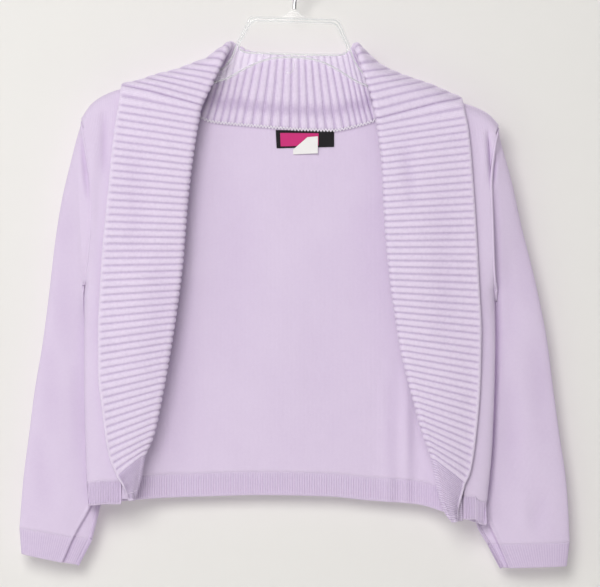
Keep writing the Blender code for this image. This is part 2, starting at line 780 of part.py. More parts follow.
def build_hook():
    """Wire from the hanger's gusset up and round, its inner top at the origin."""
    foot_x, foot_z = tilted(0, GUSSET_TOP)
    centre_z = -HOOK_RADIUS
    bend = HOOK_RADIUS + WIRE / 2
    turns = np.radians(np.linspace(HOOK_FROM, HOOK_TO, HOOK_POINTS))
    arc = [(bend * math.cos(t), 0, centre_z + bend * math.sin(t)) for t in turns]
    foot = [(foot_x, 0, foot_z + STEM_RISE), (foot_x * STEM_LEAN, 0, foot_z + HOOK_STEM / 2)]
    foot += [(x, 0, z) for x, z in HOOK_NECK]
    wire("hanger_hook", foot + arc, WIRE, "chrome")


def build_label(name, corners, lift, colour):
    """Flat label lying on the inside of the back."""
    inner = np.array([[x, BACK_DEPTH - lift, z] for x, z in reversed(corners)])
    mesh = bpy.data.meshes.new(name)
    mesh.from_pydata((inner * MM).tolist(), [], [list(range(len(corners)))])
    made = new_object(name, mesh, colour)
    thicken = made.modifiers.new("wall", "SOLIDIFY")
    thicken.thickness = LABEL_WALL * MM
    thicken.offset = 1
    return made


def build_back():
    back = back_grid()
    cloth("back", back, PANEL_WALL)
    band = band_grid(back, lambda x, z: back_depth(x, z, np.full_like(x, BACK_DEPTH)))
    cloth("back_hem", band, PANEL_WALL, colour="rib")


def build_front(side, word):
    front = front_grid(side)
    turned = side == RIGHT
    cloth(f"{word}_front", front, PANEL_WALL, turned)
    band = band_grid(front, lambda x, z: front_depth(side, x, z, np.full_like(x, FRONT_DEPTH)))
    cloth(f"{word}_front_hem", band, PANEL_WALL, turned, colour="rib")


def build_sleeve(side, word):
    turned = side == RIGHT
    cloth(f"{word}_sleeve", sleeve_grid(side), PANEL_WALL, turned, wrap=True)
    cloth(f"{word}_cuff", cuff_grid(side), PANEL_WALL, turned, wrap=True, colour="rib")


def build():
    build_back()
    build_collar_back()
    for side, word in ((RIGHT, "right"), (LEFT, "left")):
        build_front(side, word)
        build_sleeve(side, word)
        build_collar_shoulder(side, f"collar_{word}_shoulder")
        build_lapel(side, f"{word}_lapel")
    build_label("label", LABEL, LABEL_LIFT, "label")
    build_label("size_label", SIZE_LABEL, LABEL_LIFT + LABEL_WALL + SEAM_GAP, "paper")
    build_hanger()
    build_hook()


for old in list(bpy.data.objects):
    bpy.data.objects.remove(old)
garment = bpy.data.collections.new("cardigan_on_a_hanger")
bpy.context.scene.collection.children.link(garment)
cutters = bpy.data.collections.new("cutters")
cutters.hide_render = True
bpy.context.scene.collection.children.link(cutters)
build()
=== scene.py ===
import math

import bpy
import numpy as np
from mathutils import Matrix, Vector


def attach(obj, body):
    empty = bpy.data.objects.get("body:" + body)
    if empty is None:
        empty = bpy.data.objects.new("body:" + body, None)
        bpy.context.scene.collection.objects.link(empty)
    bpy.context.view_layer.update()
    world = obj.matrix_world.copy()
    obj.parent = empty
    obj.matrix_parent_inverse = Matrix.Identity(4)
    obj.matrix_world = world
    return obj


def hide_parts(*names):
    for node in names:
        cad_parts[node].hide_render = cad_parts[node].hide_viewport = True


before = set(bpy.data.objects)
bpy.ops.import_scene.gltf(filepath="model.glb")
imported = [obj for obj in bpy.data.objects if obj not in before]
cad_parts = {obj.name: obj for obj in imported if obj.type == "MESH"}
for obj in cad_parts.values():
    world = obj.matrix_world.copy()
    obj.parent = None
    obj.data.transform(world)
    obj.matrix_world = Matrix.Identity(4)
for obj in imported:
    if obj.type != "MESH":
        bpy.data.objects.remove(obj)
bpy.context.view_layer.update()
mm = 0.001
right, left = -1, 1
wordOf = {right: "right", left: "left"}

# Body: half round over the shoulders, then down to the hem bands.
body = {
    "shoulderRadius": 12.0,
    "shoulderDepth": -3.0,       # y of its middle
    "shoulderRows": 10,
    "hemHeight": 24.0,
    "seamGap": 0.5,
    "sideGap": 0.45,
    "neckGap": 1.0,
    "wall": 1.8,
    "underarm": {right: -347.0, left: -352.0},
    "closing": 45.0,             # height above the underarm over which the sides part
    "sideY": -4.0,               # y of the side seams, and how they sink below the underarm
    "sideSink": 5.0, "sideReach": 60.0,
    "frontRound": 14.0,          # width of the front's rounding at the side
}
quarter = body["shoulderRadius"] * math.pi / 2
backDepth = body["shoulderDepth"] + body["shoulderRadius"]
frontDepth = body["shoulderDepth"] - body["shoulderRadius"]

# How the back comes forward at each side, and its upright folds low down.
backPanel = {
    "flatFrom": 2, "flatFromLow": 22,    # in from the side, and how much more low down
    "ramp": 40, "rampLow": 24,           # width of the way from the side to the flat
    "edgeSwell": 1.6, "edgeWidth": 4,
    "softDrop": 22, "softReach": 70, "softWidth": 9,    # where that ends above the underarm
    "folds": [(98, 8, 2.4), (116, 6, 3.0)],    # x, width, depth
    "foldTop": -420, "foldReach": 90,
}

# Creases and folds of the cloth, and the painted shade along them.
creaseForm = {
    "sidePower": 0.5,            # how fast a crease fades where the cloth turns away
    "endPower": 0.7,             # and toward its two ends
    "fullDepth": 5,              # a crease this deep is drawn darkest
    "darkest": 0.95,
}

# Top line of the shoulder: x, z.
shoulderLine = {
    right: [
        (-226, -178), (-223, -174), (-214, -161), (-202, -152), (-184, -145),
        (-164, -141), (-147, -135.3), (-125, -129.5), (-107, -122.5), (-92, -117),
        (-84, -110.5), (-75, -104.5), (-66, -97), (-56, -90.5), (-33, -90), (4, -92.5),
    ],
    left: [
        (4, -92.5), (34, -92), (52, -93), (62, -100), (70, -108), (78, -116), (88, -124),
        (104, -132), (122, -139), (141, -145.5), (156, -152), (172, -158.5), (188, -164),
        (201, -171), (211, -182), (213, -185),
    ],
}

# Side edge of the body: z, x.
bodySide = {
    right: [
        (-178, -223.5), (-192, -221), (-217, -217), (-247, -213), (-275, -213),
        (-321, -216), (-364, -220), (-441, -220), (-499, -219), (-556, -217), (-580, -216),
    ],
    left: [
        (-185, 211), (-203, 207), (-245, 203), (-275, 204), (-308, 205), (-404, 207),
        (-511, 204), (-579, 198), (-600, 196),
    ],
}

# Edge of each front, under the collar: z, x.
frontEdge = {
    right: [
        (-131, -130), (-150, -144), (-181, -150), (-259, -159), (-364, -167),
        (-469, -174), (-520, -178), (-552, -183), (-580, -184),
    ],
    left: [
        (-139, 122), (-160, 134), (-219, 140), (-312, 146), (-364, 150), (-417, 155),
        (-469, 160), (-501, 162), (-529, 167), (-556, 175), (-600, 176),
    ],
}

# Neck seam across the back, and the lower edges: x, z.
neckSeam = [
    (-130, -131), (-122, -147), (-111, -163), (-92, -176), (-69, -179), (-34, -182),
    (4, -185), (40, -186), (57, -183), (79, -177), (99, -167), (111, -154), (122, -139),
]
hemLine = [
    (-222, -578), (-168, -573.5), (-101, -571), (-39, -569.5), (35, -571), (75, -575),
    (129, -579), (162, -587), (200, -598),
]
frontHemLine = {
    right: [(-222, -579), (-184, -577)],
    left: [(170, -593), (180, -597), (200, -599)],
}

# Sleeve rings: x and z of the outer fold and of the inner fold, for each side, then y of the
# two folds and half the thickness, alike on both.
sleeveRings = {
    right: [
        (-230, -195, -222.5, -362),
        (-237, -222, -221.5, -384),
        (-246, -259, -218, -412),
        (-253, -301, -213, -443),
        (-260, -359, -207, -478),
        (-267, -412, -204, -511),
        (-275, -459, -204, -543),
        (-281, -506, -206, -571),
        (-287, -553, -210, -592),
        (-291, -604, -216, -616),
    ],
    left: [
        (215, -200, 209.5, -368),
        (226, -238, 208.5, -390),
        (237, -287, 205.5, -418),
        (251, -342, 201, -450),
        (264, -405, 195, -485),
        (271, -459, 190, -520),
        (278, -511, 188, -552),
        (283, -543, 188, -580),
        (286, -575, 192, -602),
        (288, -619, 203, -621),
    ],
}
sleeveDepths = [
    (-2.0, 1.5, 11.0), (0.0, 5.0, 10.5), (2.5, 7.5, 10.0), (4.5, 8.5, 9.5),
    (6.5, 8.5, 9.0), (7.0, 8.0, 8.5), (7.0, 7.5, 8.0), (7.0, 7.0, 7.5),
    (6.5, 6.5, 7.0), (6.0, 6.0, 6.5),
]
cuffEnd = {right: (-289, -631, -230, -643), left: (285, -644, 216, -646)}


def through(knots, values, at):
    # Smooth line through a table's rows: cubic pieces whose slopes are the harmonic
    # mean of the neighbouring slopes, so that it never swings past a row.
    knots = np.asarray(knots, float)
    values = np.asarray(values, float)
    flat = values.ndim == 1
    if flat:
        values = values[:, None]
    if knots[0] > knots[-1]:
        knots = knots[::-1]
        values = values[::-1]
    at = np.clip(np.asarray(at, float), knots[0], knots[-1])
    step = np.diff(knots)[:, None]
    slope = np.diff(values, axis=0) / step
    before, after = slope[:-1], slope[1:]
    same = before * after > 1e-12
    heavy = 2 * step[1:] + step[:-1]
    light = step[1:] + 2 * step[:-1]
    mean = (heavy + light) / (
        heavy / np.where(same, before, 1) + light / np.where(same, after, 1)
    )
    tangent = np.vstack([slope[:1], np.where(same, mean, 0.0), slope[-1:]])
    cell = np.clip(np.searchsorted(knots, at, side="right") - 1, 0, len(knots) - 2)
    t = ((at - knots[cell]) / step[cell, 0])[..., None]
    rise, fall = tangent[cell] * step[cell], tangent[cell + 1] * step[cell]
    made = (
        values[cell] * (2 * t**3 - 3 * t**2 + 1)
        + rise * (t**3 - 2 * t**2 + t)
        + values[cell + 1] * (3 * t**2 - 2 * t**3)
        + fall * (t**3 - t**2)
    )
    return made[..., 0] if flat else made


def tableLine(table, at):
    return through([row[0] for row in table], [row[1] for row in table], at)


def lengthAlong(points):
    # Distance of each point from the first one, along the line.
    return np.concatenate([[0], np.cumsum(np.linalg.norm(np.diff(points, axis=0), axis=1))])


def along(points, shares):
    # Points of a line at shares of its length.
    points = np.asarray(points, float)
    length = lengthAlong(points)
    return through(length / length[-1], points, shares)


def resampled(line, places):
    # Points at distances along a line, straight between its own points.
    length = lengthAlong(line)
    columns = [np.interp(places, length, line[:, k]) for k in range(line.shape[1])]
    return np.stack(columns, axis=-1)


def softened(rows, passes):
    # Every row but the first and last averaged with its neighbours, a few times over.
    for _ in range(passes):
        rows[1:-1] = (rows[:-2] + 2 * rows[1:-1] + rows[2:]) / 4
    return rows


def unit(vectors):
    return vectors / np.maximum(np.linalg.norm(vectors, axis=-1, keepdims=True), 1e-9)


def smooth(t):
    # 0 up to 0, 1 from 1 on, and an even S curve between.
    t = np.clip(t, 0, 1)
    return t * t * (3 - 2 * t)


def bell(away, width):
    # 1 at 0, and falling off evenly on both sides.
    return np.exp(-((away / width) ** 2))


def quarterRound(t):
    # 0 at 0 and 1 from 1 on, rising steeply like a quarter circle.
    return np.sqrt(1 - (1 - np.clip(t, 0, 1)) ** 2)


def shoulderZ(x):
    return tableLine(shoulderLine[right] + shoulderLine[left][1:], x)


def tipZ(side):
    # Height of the shoulder's outer end.
    return shoulderLine[side][0 if side == right else -1][1]


def roundDistance(x, z):
    # Distance round the shoulder from its top line down to a height z.
    radius = body["shoulderRadius"]
    drop = shoulderZ(x) - z
    bend = np.arccos(np.clip(1 - drop / radius, 0, 1)) * radius
    return np.where(drop < radius, bend, quarter + drop - radius)


def neckSeamZ(x, gap):
    slope = (tableLine(neckSeam, x + 1) - tableLine(neckSeam, x - 1)) / 2
    return tableLine(neckSeam, x) + gap * np.sqrt(1 + slope**2)


def onShoulder(x, w, lift):
    # Point at x and at the distance w round the shoulder, moved out of the cloth by lift.
    turn = np.clip(w / body["shoulderRadius"], -math.pi / 2, math.pi / 2)
    radius = body["shoulderRadius"] + lift
    down = np.clip(np.abs(w) - quarter, 0, None)
    y = body["shoulderDepth"] + radius * np.sin(turn)
    z = shoulderZ(x) + lift - radius * (1 - np.cos(turn)) - down
    return np.stack([x + 0 * y, y, z], axis=-1)


def closing(side, z):
    # 1 from the underarm down, where front and back meet at the side.
    return 1 - quarterRound((z - body["underarm"][side]) / body["closing"])


def sideDepth(side, z):
    below = smooth((body["underarm"][side] - z) / body["sideReach"])
    return body["sideY"] - body["sideSink"] * below


def frontY(side, x, z):
    # Flat front that rounds back to the side seam.
    inward = np.abs(x - tableLine(bodySide[side], z))
    lack = (1 - quarterRound(inward / body["frontRound"])) * closing(side, z)
    return frontDepth + (sideDepth(side, z) - body["sideGap"] - frontDepth) * lack


def backY(x, z):
    # Flat back that comes forward near each side, with soft upright folds low down.
    form = backPanel
    y = np.full_like(x, backDepth)
    for side in (right, left):
        inward = side * (tableLine(bodySide[side], z) - x)
        below = smooth((body["underarm"][side] - z) / body["sideReach"])
        width = form["ramp"] + form["rampLow"] * below
        ramp = smooth((inward - form["flatFrom"] - form["flatFromLow"] * below) / width)
        swell = form["edgeSwell"] * quarterRound(inward / form["edgeWidth"])
        near = sideDepth(side, z) + body["sideGap"] + swell
        soft = 1 - smooth((z - body["underarm"][side] + form["softDrop"]) / form["softReach"])
        shut = closing(side, z)
        shut = shut + (soft - shut) * smooth(inward / form["softWidth"])
        y = y + (near + (backDepth - near) * ramp - backDepth) * shut
    for middle, width, depth in form["folds"]:
        low = smooth((form["foldTop"] - z) / form["foldReach"])
        y = y - depth * low * bell(x - middle, width)
    return y


def gridNormals(points, wrap):
    # Cross product of the steps down and across the grid, made one long.
    if wrap:
        across = np.roll(points, -1, axis=1) - np.roll(points, 1, axis=1)
    else:
        across = np.gradient(points, axis=1)
    return unit(np.cross(np.gradient(points, axis=0), across))


def creased(points, creases, wrap=False, facing=-1):
    # Each crease is a line in the XZ plane that the cloth sinks along, in y, by a bell
    # curve of the distance from it that fades to nothing at the line's two ends.
    # Also gives the painted shade at each point, darker in the deeper creases, from 0 to 1.
    y = points[..., 1].copy()
    hollowShade = np.zeros(y.shape)
    weight = 1.0
    if wrap:    # on a sleeve only the layer that faces that way is creased
        normal = gridNormals(points, True)[..., 1]
        fromMiddle = y - y.mean(axis=1)[:, None]
        outward = np.sign((normal * fromMiddle).sum())
        weight = np.clip(facing * outward * normal, 0, 1) ** creaseForm["sidePower"]
    for x0, z0, x1, z1, width, depth in creases:
        start, step = np.array([x0, z0]), np.array([x1 - x0, z1 - z0])
        gap = points[..., [0, 2]] - start
        share = np.clip((gap @ step) / (step @ step), 0, 1)
        away = np.linalg.norm(gap - share[..., None] * step, axis=-1)
        fade = np.sin(math.pi * np.clip(share, 0.001, 0.999)) ** creaseForm["endPower"]
        dip = weight * fade * bell(away, width)
        y = y - facing * depth * dip
        dark = np.clip(depth / creaseForm["fullDepth"], 0, creaseForm["darkest"])
        hollowShade = np.maximum(hollowShade, dark * dip)
    made = points.copy()
    made[..., 1] = y
    return made, hollowShade


def linked(name, data):
    made = bpy.data.objects.new(name, data)
    bpy.context.scene.collection.objects.link(made)
    return made


def putMesh(name, points, quads, uv, grooveAndShade, finish):
    # Whole arrays of points, of four corners a face, and of a UV a corner, as one mesh.
    mesh = bpy.data.meshes.new(name)
    mesh.vertices.add(len(points))
    mesh.vertices.foreach_set("co", (points * mm).astype(np.float32).ravel())
    mesh.loops.add(quads.size)
    mesh.loops.foreach_set("vertex_index", quads.astype(np.int32).ravel())
    mesh.polygons.add(len(quads))
    mesh.polygons.foreach_set("loop_start", np.arange(0, quads.size, 4, dtype=np.int32))
    mesh.update(calc_edges=True)
    mesh.polygons.foreach_set("use_smooth", np.ones(len(quads), bool))
    layer = mesh.uv_layers.new(name="cloth")
    layer.data.foreach_set("uv", (uv * mm).astype(np.float32).ravel())
    # The groove mark is how much painted shade the colour gets, in grooves, creases and folds.
    mark = mesh.attributes.new("grooveAndShade", "FLOAT", "POINT")
    mark.data.foreach_set("value", grooveAndShade.astype(np.float32).ravel())
    mesh.validate()
    made = linked(name, mesh)
    made.data.materials.append(finish)
    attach(made, "root")
    return made


def gridCorners(rows, cells):
    # Row and column of the four corners of each face of a grid.
    r, c = np.meshgrid(np.arange(rows - 1), np.arange(cells), indexing="ij")
    cornerRow = np.stack([r, r, r + 1, r + 1], -1).reshape(-1, 4)
    cornerColumn = np.stack([c, c + 1, c + 1, c], -1).reshape(-1, 4)
    return cornerRow, cornerColumn


def clothShell(name, inner, wall, out, uv, finish, wrap=False, grooveAndShade=0.0, bulge=0.3):
    # Closed wall on a grid: the outer face is the inner one moved along its normals by
    # the wall, and each border is closed round a line pushed out by bulge walls.
    rows, columns = inner.shape[:2]
    wall = np.broadcast_to(wall, (rows, columns))[..., None]
    grooveAndShade = np.broadcast_to(grooveAndShade, (rows, columns))
    outer = inner + out * gridNormals(inner, wrap) * wall
    cornerRow, cornerColumn = gridCorners(rows, columns if wrap else columns - 1)
    if out > 0:
        cornerRow, cornerColumn = cornerRow[:, ::-1], cornerColumn[:, ::-1]
    face = cornerRow * columns + cornerColumn % columns
    faceUv = uv[cornerRow, cornerColumn]
    size = rows * columns

    # The border, as one ring round the grid or, for a sleeve, one at each end.
    if wrap:
        a = np.arange(columns)
        startRow = np.concatenate([np.zeros(columns, int), np.full(columns, rows - 1)])
        startColumn = np.concatenate([a, a[::-1] + 1])
        endColumn = np.concatenate([a + 1, a[::-1]])
        endRow = startRow
        nextOf = np.concatenate([np.roll(a, -1), columns + np.roll(a, -1)])
    else:
        top = np.stack([np.zeros(columns - 1, int), np.arange(columns - 1)])
        far = np.stack([np.arange(rows - 1), np.full(rows - 1, columns - 1)])
        low = np.stack([np.full(columns - 1, rows - 1), np.arange(columns - 1, 0, -1)])
        near = np.stack([np.arange(rows - 1, 0, -1), np.zeros(rows - 1, int)])
        startRow, startColumn = np.hstack([top, far, low, near])
        endRow, endColumn = np.roll(startRow, -1), np.roll(startColumn, -1)
        nextOf = np.roll(np.arange(len(startRow)), -1)
    across = unit(np.gradient(inner, axis=1))
    down = unit(np.gradient(inner, axis=0))
    push = np.zeros_like(inner)
    push[0] -= down[0]
    push[-1] += down[-1]
    if not wrap:
        push[:, 0] -= across[:, 0]
        push[:, -1] += across[:, -1]
    middle = (inner + outer) / 2 + push * bulge * wall
    ringColumn = startColumn % columns
    outerStart = startRow * columns + ringColumn
    outerEnd = endRow * columns + endColumn % columns
    ringStart = 2 * size + np.arange(len(startRow))
    ringEnd = 2 * size + nextOf
    front = np.stack([outerStart, outerEnd, ringEnd, ringStart], -1)
    behind = np.stack([ringStart, ringEnd, outerEnd + size, outerStart + size], -1)
    rimUv = np.stack([uv[startRow, startColumn], uv[endRow, endColumn]], axis=1)
    rimUv = rimUv[:, [0, 1, 1, 0]]
    if out < 0:
        front, behind, rimUv = front[:, ::-1], behind[:, ::-1], rimUv[:, ::-1]

    points = np.vstack([outer.reshape(-1, 3), inner.reshape(-1, 3), middle[startRow, ringColumn]])
    quads = np.vstack([face, face[:, ::-1] + size, front, behind])
    uvs = np.vstack([faceUv, faceUv[:, ::-1], rimUv, rimUv])
    marks = np.concatenate([grooveAndShade.ravel(), grooveAndShade.ravel(), grooveAndShade[startRow, ringColumn]])
    return putMesh(name, points, quads, uvs, marks, finish)


def measured(points, wrap=False):
    # UV in millimetres: the distance along the middle row and down the middle column.
    if wrap:
        points = np.concatenate([points, points[:, :1]], axis=1)
    rows, columns = points.shape[:2]
    u = lengthAlong(points[rows // 2])
    v = lengthAlong(points[:, columns // 2])
    return np.stack(np.broadcast_arrays(u[None, :], v[:, None]), axis=-1)


def ringTurns(count):
    return np.arange(count) * 2 * math.pi / count


def threadTube(name, path, radius, sides, finish):
    # Round tube: at each point of the path a circle square to the path's direction.
    path = np.asarray(path, float)
    ahead = unit(np.gradient(path, axis=0))
    first = unit(np.cross(ahead, (0.0, 1.0, 0.0)))[:, None]
    second = np.cross(ahead, first[:, 0])[:, None]
    turn = ringTurns(sides)[None, :, None]
    points = path[:, None] + (first * np.cos(turn) + second * np.sin(turn)) * radius
    closed = 0.02    # the two ends shrink to this share of the radius
    firstEnd = path[0] + (points[:1] - path[0]) * closed
    lastEnd = path[-1] + (points[-1:] - path[-1]) * closed
    rows = np.vstack([firstEnd, points, lastEnd])
    cornerRow, cornerColumn = (part[:, ::-1] for part in gridCorners(len(rows), sides))
    quads = cornerRow * sides + cornerColumn % sides
    reach = 2 * math.pi * radius / sides
    uv = np.stack([cornerColumn * reach, cornerRow * 0.7], axis=-1)    # 0.7 mm a row
    marks = np.zeros(len(rows) * sides)
    return putMesh(name, rows.reshape(-1, 3), quads, uv, marks, finish)


# Finishes

def nodeOf(tree, kind, **settings):
    made = tree.nodes.new(kind)
    for key, value in settings.items():
        setattr(made, key, value)
    return made


def feed(tree, node, values):
    # Each value goes to the socket of that name or number: a link from a socket, or a number.
    for key, value in values.items():
        socket = node.inputs[key]
        if isinstance(value, bpy.types.NodeSocket):
            tree.links.new(value, socket)
        else:
            socket.default_value = value
    return node


def mathNode(tree, operation, first, second=0.0, third=0.0):
    node = nodeOf(tree, "ShaderNodeMath", operation=operation)
    return feed(tree, node, {0: first, 1: second, 2: third}).outputs[0]


def mixColour(tree, share, first, second):
    node = nodeOf(tree, "ShaderNodeMix", data_type="RGBA")
    feed(tree, node, {0: share, 6: first, 7: second})
    return node.outputs[2]


def materialOf(name):
    # A new material, its node tree and its shader.
    made = bpy.data.materials.new(name)
    made.use_nodes = True
    return made, made.node_tree, made.node_tree.nodes["Principled BSDF"]


def bumpOf(tree, strength, distance, height):
    relief = nodeOf(tree, "ShaderNodeBump")
    feed(tree, relief, {"Strength": strength, "Distance": distance, "Height": height})
    return relief.outputs[0]


def noiseOf(tree, scale, detail, roughness=0.5):
    # Noise on Object coordinates.
    place = nodeOf(tree, "ShaderNodeTexCoord").outputs["Object"]
    noise = nodeOf(tree, "ShaderNodeTexNoise")
    feed(tree, noise, {"Vector": place, "Scale": scale, "Detail": detail, "Roughness": roughness})
    return noise.outputs[0]


knit = {
    "lean": 1.3,                  # how far a stitch's legs lean
    "fuzz": (900.0, 2.0, 0.6),    # noises: scale, detail, roughness
    "speck": (320.0, 3.0, 0.7),
    "cloud": (22.0, 3.0, 0.55),
    "ridgeHeight": 0.5, "stitchHeight": 0.35, "fuzzHeight": 0.6, "speckHeight": 1.6,
    # ridgeDark, stitchDark and grooveDark: painted shade between the wales, in the stitches'
    # hollows and along the groove mark.
    "ridgeDark": 0.05, "stitchDark": 0.03, "grooveDark": 0.48,
    "roughness": 0.82, "fuzzRoughness": 0.12,
}


def knitGroup():
    # Jersey face: wales are upright columns, a cosine of u, and the stitches' two legs are
    # a sine of v plus a zigzag of u. One noise gives the yarn's fuzz, one its specks and a
    # third the mottling.
    group = bpy.data.node_groups.new("knitFace", "ShaderNodeTree")
    face = group.interface
    for name, kind, value in (
        ("Yarn", "NodeSocketColor", (0.7, 0.6, 0.8, 1)),
        ("Shade and mottle", "NodeSocketColor", (0.5, 0.4, 0.6, 1)),
        ("Wales per metre", "NodeSocketFloat", 700.0),
        ("Courses per metre", "NodeSocketFloat", 900.0),
        ("Mottling", "NodeSocketFloat", 0.06),
        ("Specks", "NodeSocketFloat", 0.15),
    ):
        face.new_socket(name, in_out="INPUT", socket_type=kind).default_value = value
    face.new_socket("Colour", in_out="OUTPUT", socket_type="NodeSocketColor")
    face.new_socket("Roughness", in_out="OUTPUT", socket_type="NodeSocketFloat")
    face.new_socket("Height", in_out="OUTPUT", socket_type="NodeSocketFloat")
    inside = nodeOf(group, "NodeGroupInput").outputs
    uv = nodeOf(group, "ShaderNodeUVMap", uv_map="cloth").outputs[0]
    split = nodeOf(group, "ShaderNodeSeparateXYZ")
    feed(group, split, {0: uv})
    wale = mathNode(group, "MULTIPLY", split.outputs[0], inside["Wales per metre"])
    course = mathNode(group, "MULTIPLY", split.outputs[1], inside["Courses per metre"])
    ridge = mathNode(group, "COSINE", mathNode(group, "MULTIPLY", wale, 2 * math.pi))
    leg = mathNode(group, "PINGPONG", wale, 0.5)
    slant = mathNode(group, "MULTIPLY_ADD", leg, knit["lean"], course)
    stitch = mathNode(group, "SINE", mathNode(group, "MULTIPLY", slant, 2 * math.pi))
    fuzz, speck, cloud = (noiseOf(group, *knit[name]) for name in ("fuzz", "speck", "cloud"))
    grooveAndShade = nodeOf(group, "ShaderNodeAttribute", attribute_name="grooveAndShade").outputs["Fac"]

    height = mathNode(group, "MULTIPLY", stitch, knit["stitchHeight"])
    for part, share in ((ridge, "ridgeHeight"), (fuzz, "fuzzHeight"), (speck, "speckHeight")):
        height = mathNode(group, "MULTIPLY_ADD", part, knit[share], height)

    # How far the colour goes over to the shade colour: painted shade between the wales, in the
    # stitches' hollows and along the groove mark, and the random mottles and specks.
    low = mathNode(group, "MULTIPLY_ADD", ridge, -knit["ridgeDark"], knit["ridgeDark"])
    low = mathNode(group, "ADD", low, mathNode(group, "MULTIPLY", stitch, -knit["stitchDark"]))
    for noise, share in ((cloud, "Mottling"), (speck, "Specks")):
        centred = mathNode(group, "SUBTRACT", noise, 0.5)
        low = mathNode(group, "MULTIPLY_ADD", centred, inside[share], low)
    low = mathNode(group, "ADD", low, mathNode(group, "MULTIPLY", grooveAndShade, knit["grooveDark"]))
    low = feed(group, nodeOf(group, "ShaderNodeClamp"), {0: low}).outputs[0]
    colour = mixColour(group, low, inside["Yarn"], inside["Shade and mottle"])
    rough = mathNode(group, "MULTIPLY_ADD", fuzz, knit["fuzzRoughness"], knit["roughness"])
    outside = nodeOf(group, "NodeGroupOutput")
    feed(group, outside, {"Colour": colour, "Roughness": rough, "Height": height})
    return group


knitFace = knitGroup()


def clothFinish(name, yarn, hollowShade, wales, courses, mottling, bump, specks):
    made, tree, shader = materialOf(name)
    group = nodeOf(tree, "ShaderNodeGroup", node_tree=knitFace)
    feed(tree, group, {
        "Yarn": (*yarn, 1), "Shade and mottle": (*hollowShade, 1), "Wales per metre": wales,
        "Courses per metre": courses, "Mottling": mottling, "Specks": specks,
    })
    relief = bumpOf(tree, bump, 0.0004, group.outputs["Height"])
    feed(tree, shader, {
        "Base Color": group.outputs["Colour"], "Roughness": group.outputs["Roughness"],
        "Normal": relief, "Sheen Weight": 0.25, "Sheen Roughness": 0.5,
        "Sheen Tint": (0.93, 0.86, 1.0, 1), "Specular IOR Level": 0.25,
    })
    return made


# Name, yarn, colour of the painted shade and of the dark mottles, wales and courses per metre,
# mottling, bump, specks.
cloths = {
    "jersey": ("lilacJersey", (0.735, 0.63, 0.805), (0.47, 0.33, 0.57), 720, 980, 0.16, 0.35, 0.16),
    "rib": ("lilacRib", (0.83, 0.73, 0.895), (0.37, 0.25, 0.48), 720, 980, 0.08, 0.5, 0.4),
    "fineRib": ("lilacFineRib", (0.72, 0.615, 0.79), (0.42, 0.29, 0.53), 720, 980, 0.08, 0.4, 0.3),
    "thread": ("lilacThread", (0.93, 0.88, 0.97), (0.72, 0.63, 0.80), 1500, 1500, 0.05, 0.2, 0.1),
    "blackLabel": (
        "blackLabel", (0.013, 0.012, 0.014), (0.004, 0.004, 0.005), 1800, 1800, 0.05, 0.3, 0.1,
    ),
    "pinkField": (
        "pinkField", (0.62, 0.035, 0.20), (0.40, 0.02, 0.12), 1800, 1800, 0.05, 0.3, 0.1,
    ),
    "whiteLabel": (
        "whiteLabel", (0.86, 0.85, 0.84), (0.7, 0.69, 0.68), 1800, 1800, 0.03, 0.15, 0.1,
    ),
}
finishes = {key: clothFinish(*values) for key, values in cloths.items()}


def glossFinish(name, colour, roughness, metallic):
    # Smooth hard surface, with a faint noise in its roughness from handling.
    made, tree, shader = materialOf(name)
    wear = noiseOf(tree, 160.0, 3.0)
    rough = mathNode(tree, "MULTIPLY_ADD", wear, roughness, roughness * 0.5)
    feed(tree, shader, {
        "Base Color": (*colour, 1), "Roughness": rough, "Metallic": metallic, "IOR": 1.49,
    })
    return made


def clearFinish(name, colour, facing, grazing):
    # Clear plastic: nearly unseen face on, and denser where it is seen along its face.
    made = glossFinish(name, colour, 0.07, 0.0)
    tree = made.node_tree
    edge = nodeOf(tree, "ShaderNodeLayerWeight")
    feed(tree, edge, {"Blend": 0.35})
    dense = mathNode(tree, "MULTIPLY_ADD", edge.outputs["Facing"], grazing - facing, facing)
    feed(tree, tree.nodes["Principled BSDF"], {
        "Alpha": dense, "Coat Weight": 0.6, "Coat Roughness": 0.03,
    })
    return made


finishes["clearPlastic"] = clearFinish("clearPlastic", (0.90, 0.91, 0.91), 0.09, 0.45)
# The rims are the same clear plastic as the plate, drawn darker grey and denser: painted shade for
# how their edges look dark.
finishes["plasticRim"] = clearFinish("plasticRim", (0.66, 0.68, 0.68), 0.45, 0.85)
finishes["chrome"] = glossFinish("chrome", (0.70, 0.70, 0.71), 0.14, 1.0)
print("finishes made")

# Body panels

panels = {
    "frontColumns": 70, "frontRows": 150,
    "frontCrowding": 1.15,        # above 1, columns crowd toward the side seam
    "backColumns": 190, "backRows": 120,
    "bandRows": 12, "bandGap": 0.1,
    "neckMargin": 0.1,
    "finePitch": 2.6,             # fine ribs of hems and cuffs
    "fineSamples": 6,
    # fineDark: painted shade in the grooves of the fine ribs.
    "fineDepth": 1.0, "fineDark": 0.6,
    "fineLevel": 0.6,             # share of a rib's height that is at the cloth's own face
    "fineStart": 0.12, "fineEnd": 0.06,    # shares of the band in which they fade
    # Columns: x and z of one end, x and z of the other, width, depth.
    "creases": {
        right: [
            (-200, -164, -200, -238, 5, 2.6), (-212, -195, -212, -300, 4, -1.2),
            (-205, -300, -209, -420, 9, 0.9),
        ],
        left: [
            (200, -186, 205, -250, 2.8, 4.2), (196, -185, 197, -240, 4, -1.0),
            (194, -330, 197, -450, 7, 0.9),
        ],
    },
    "backCreases": [
        (-60, -240, -66, -470, 26, 0.9), (30, -300, 24, -540, 30, 0.8),
        (-120, -330, -128, -540, 20, 1.0), (70, -250, 78, -420, 24, 0.8),
        (116, -430, 118, -575, 7, -1.4), (98, -440, 99, -560, 6, 1.0),
    ],
}


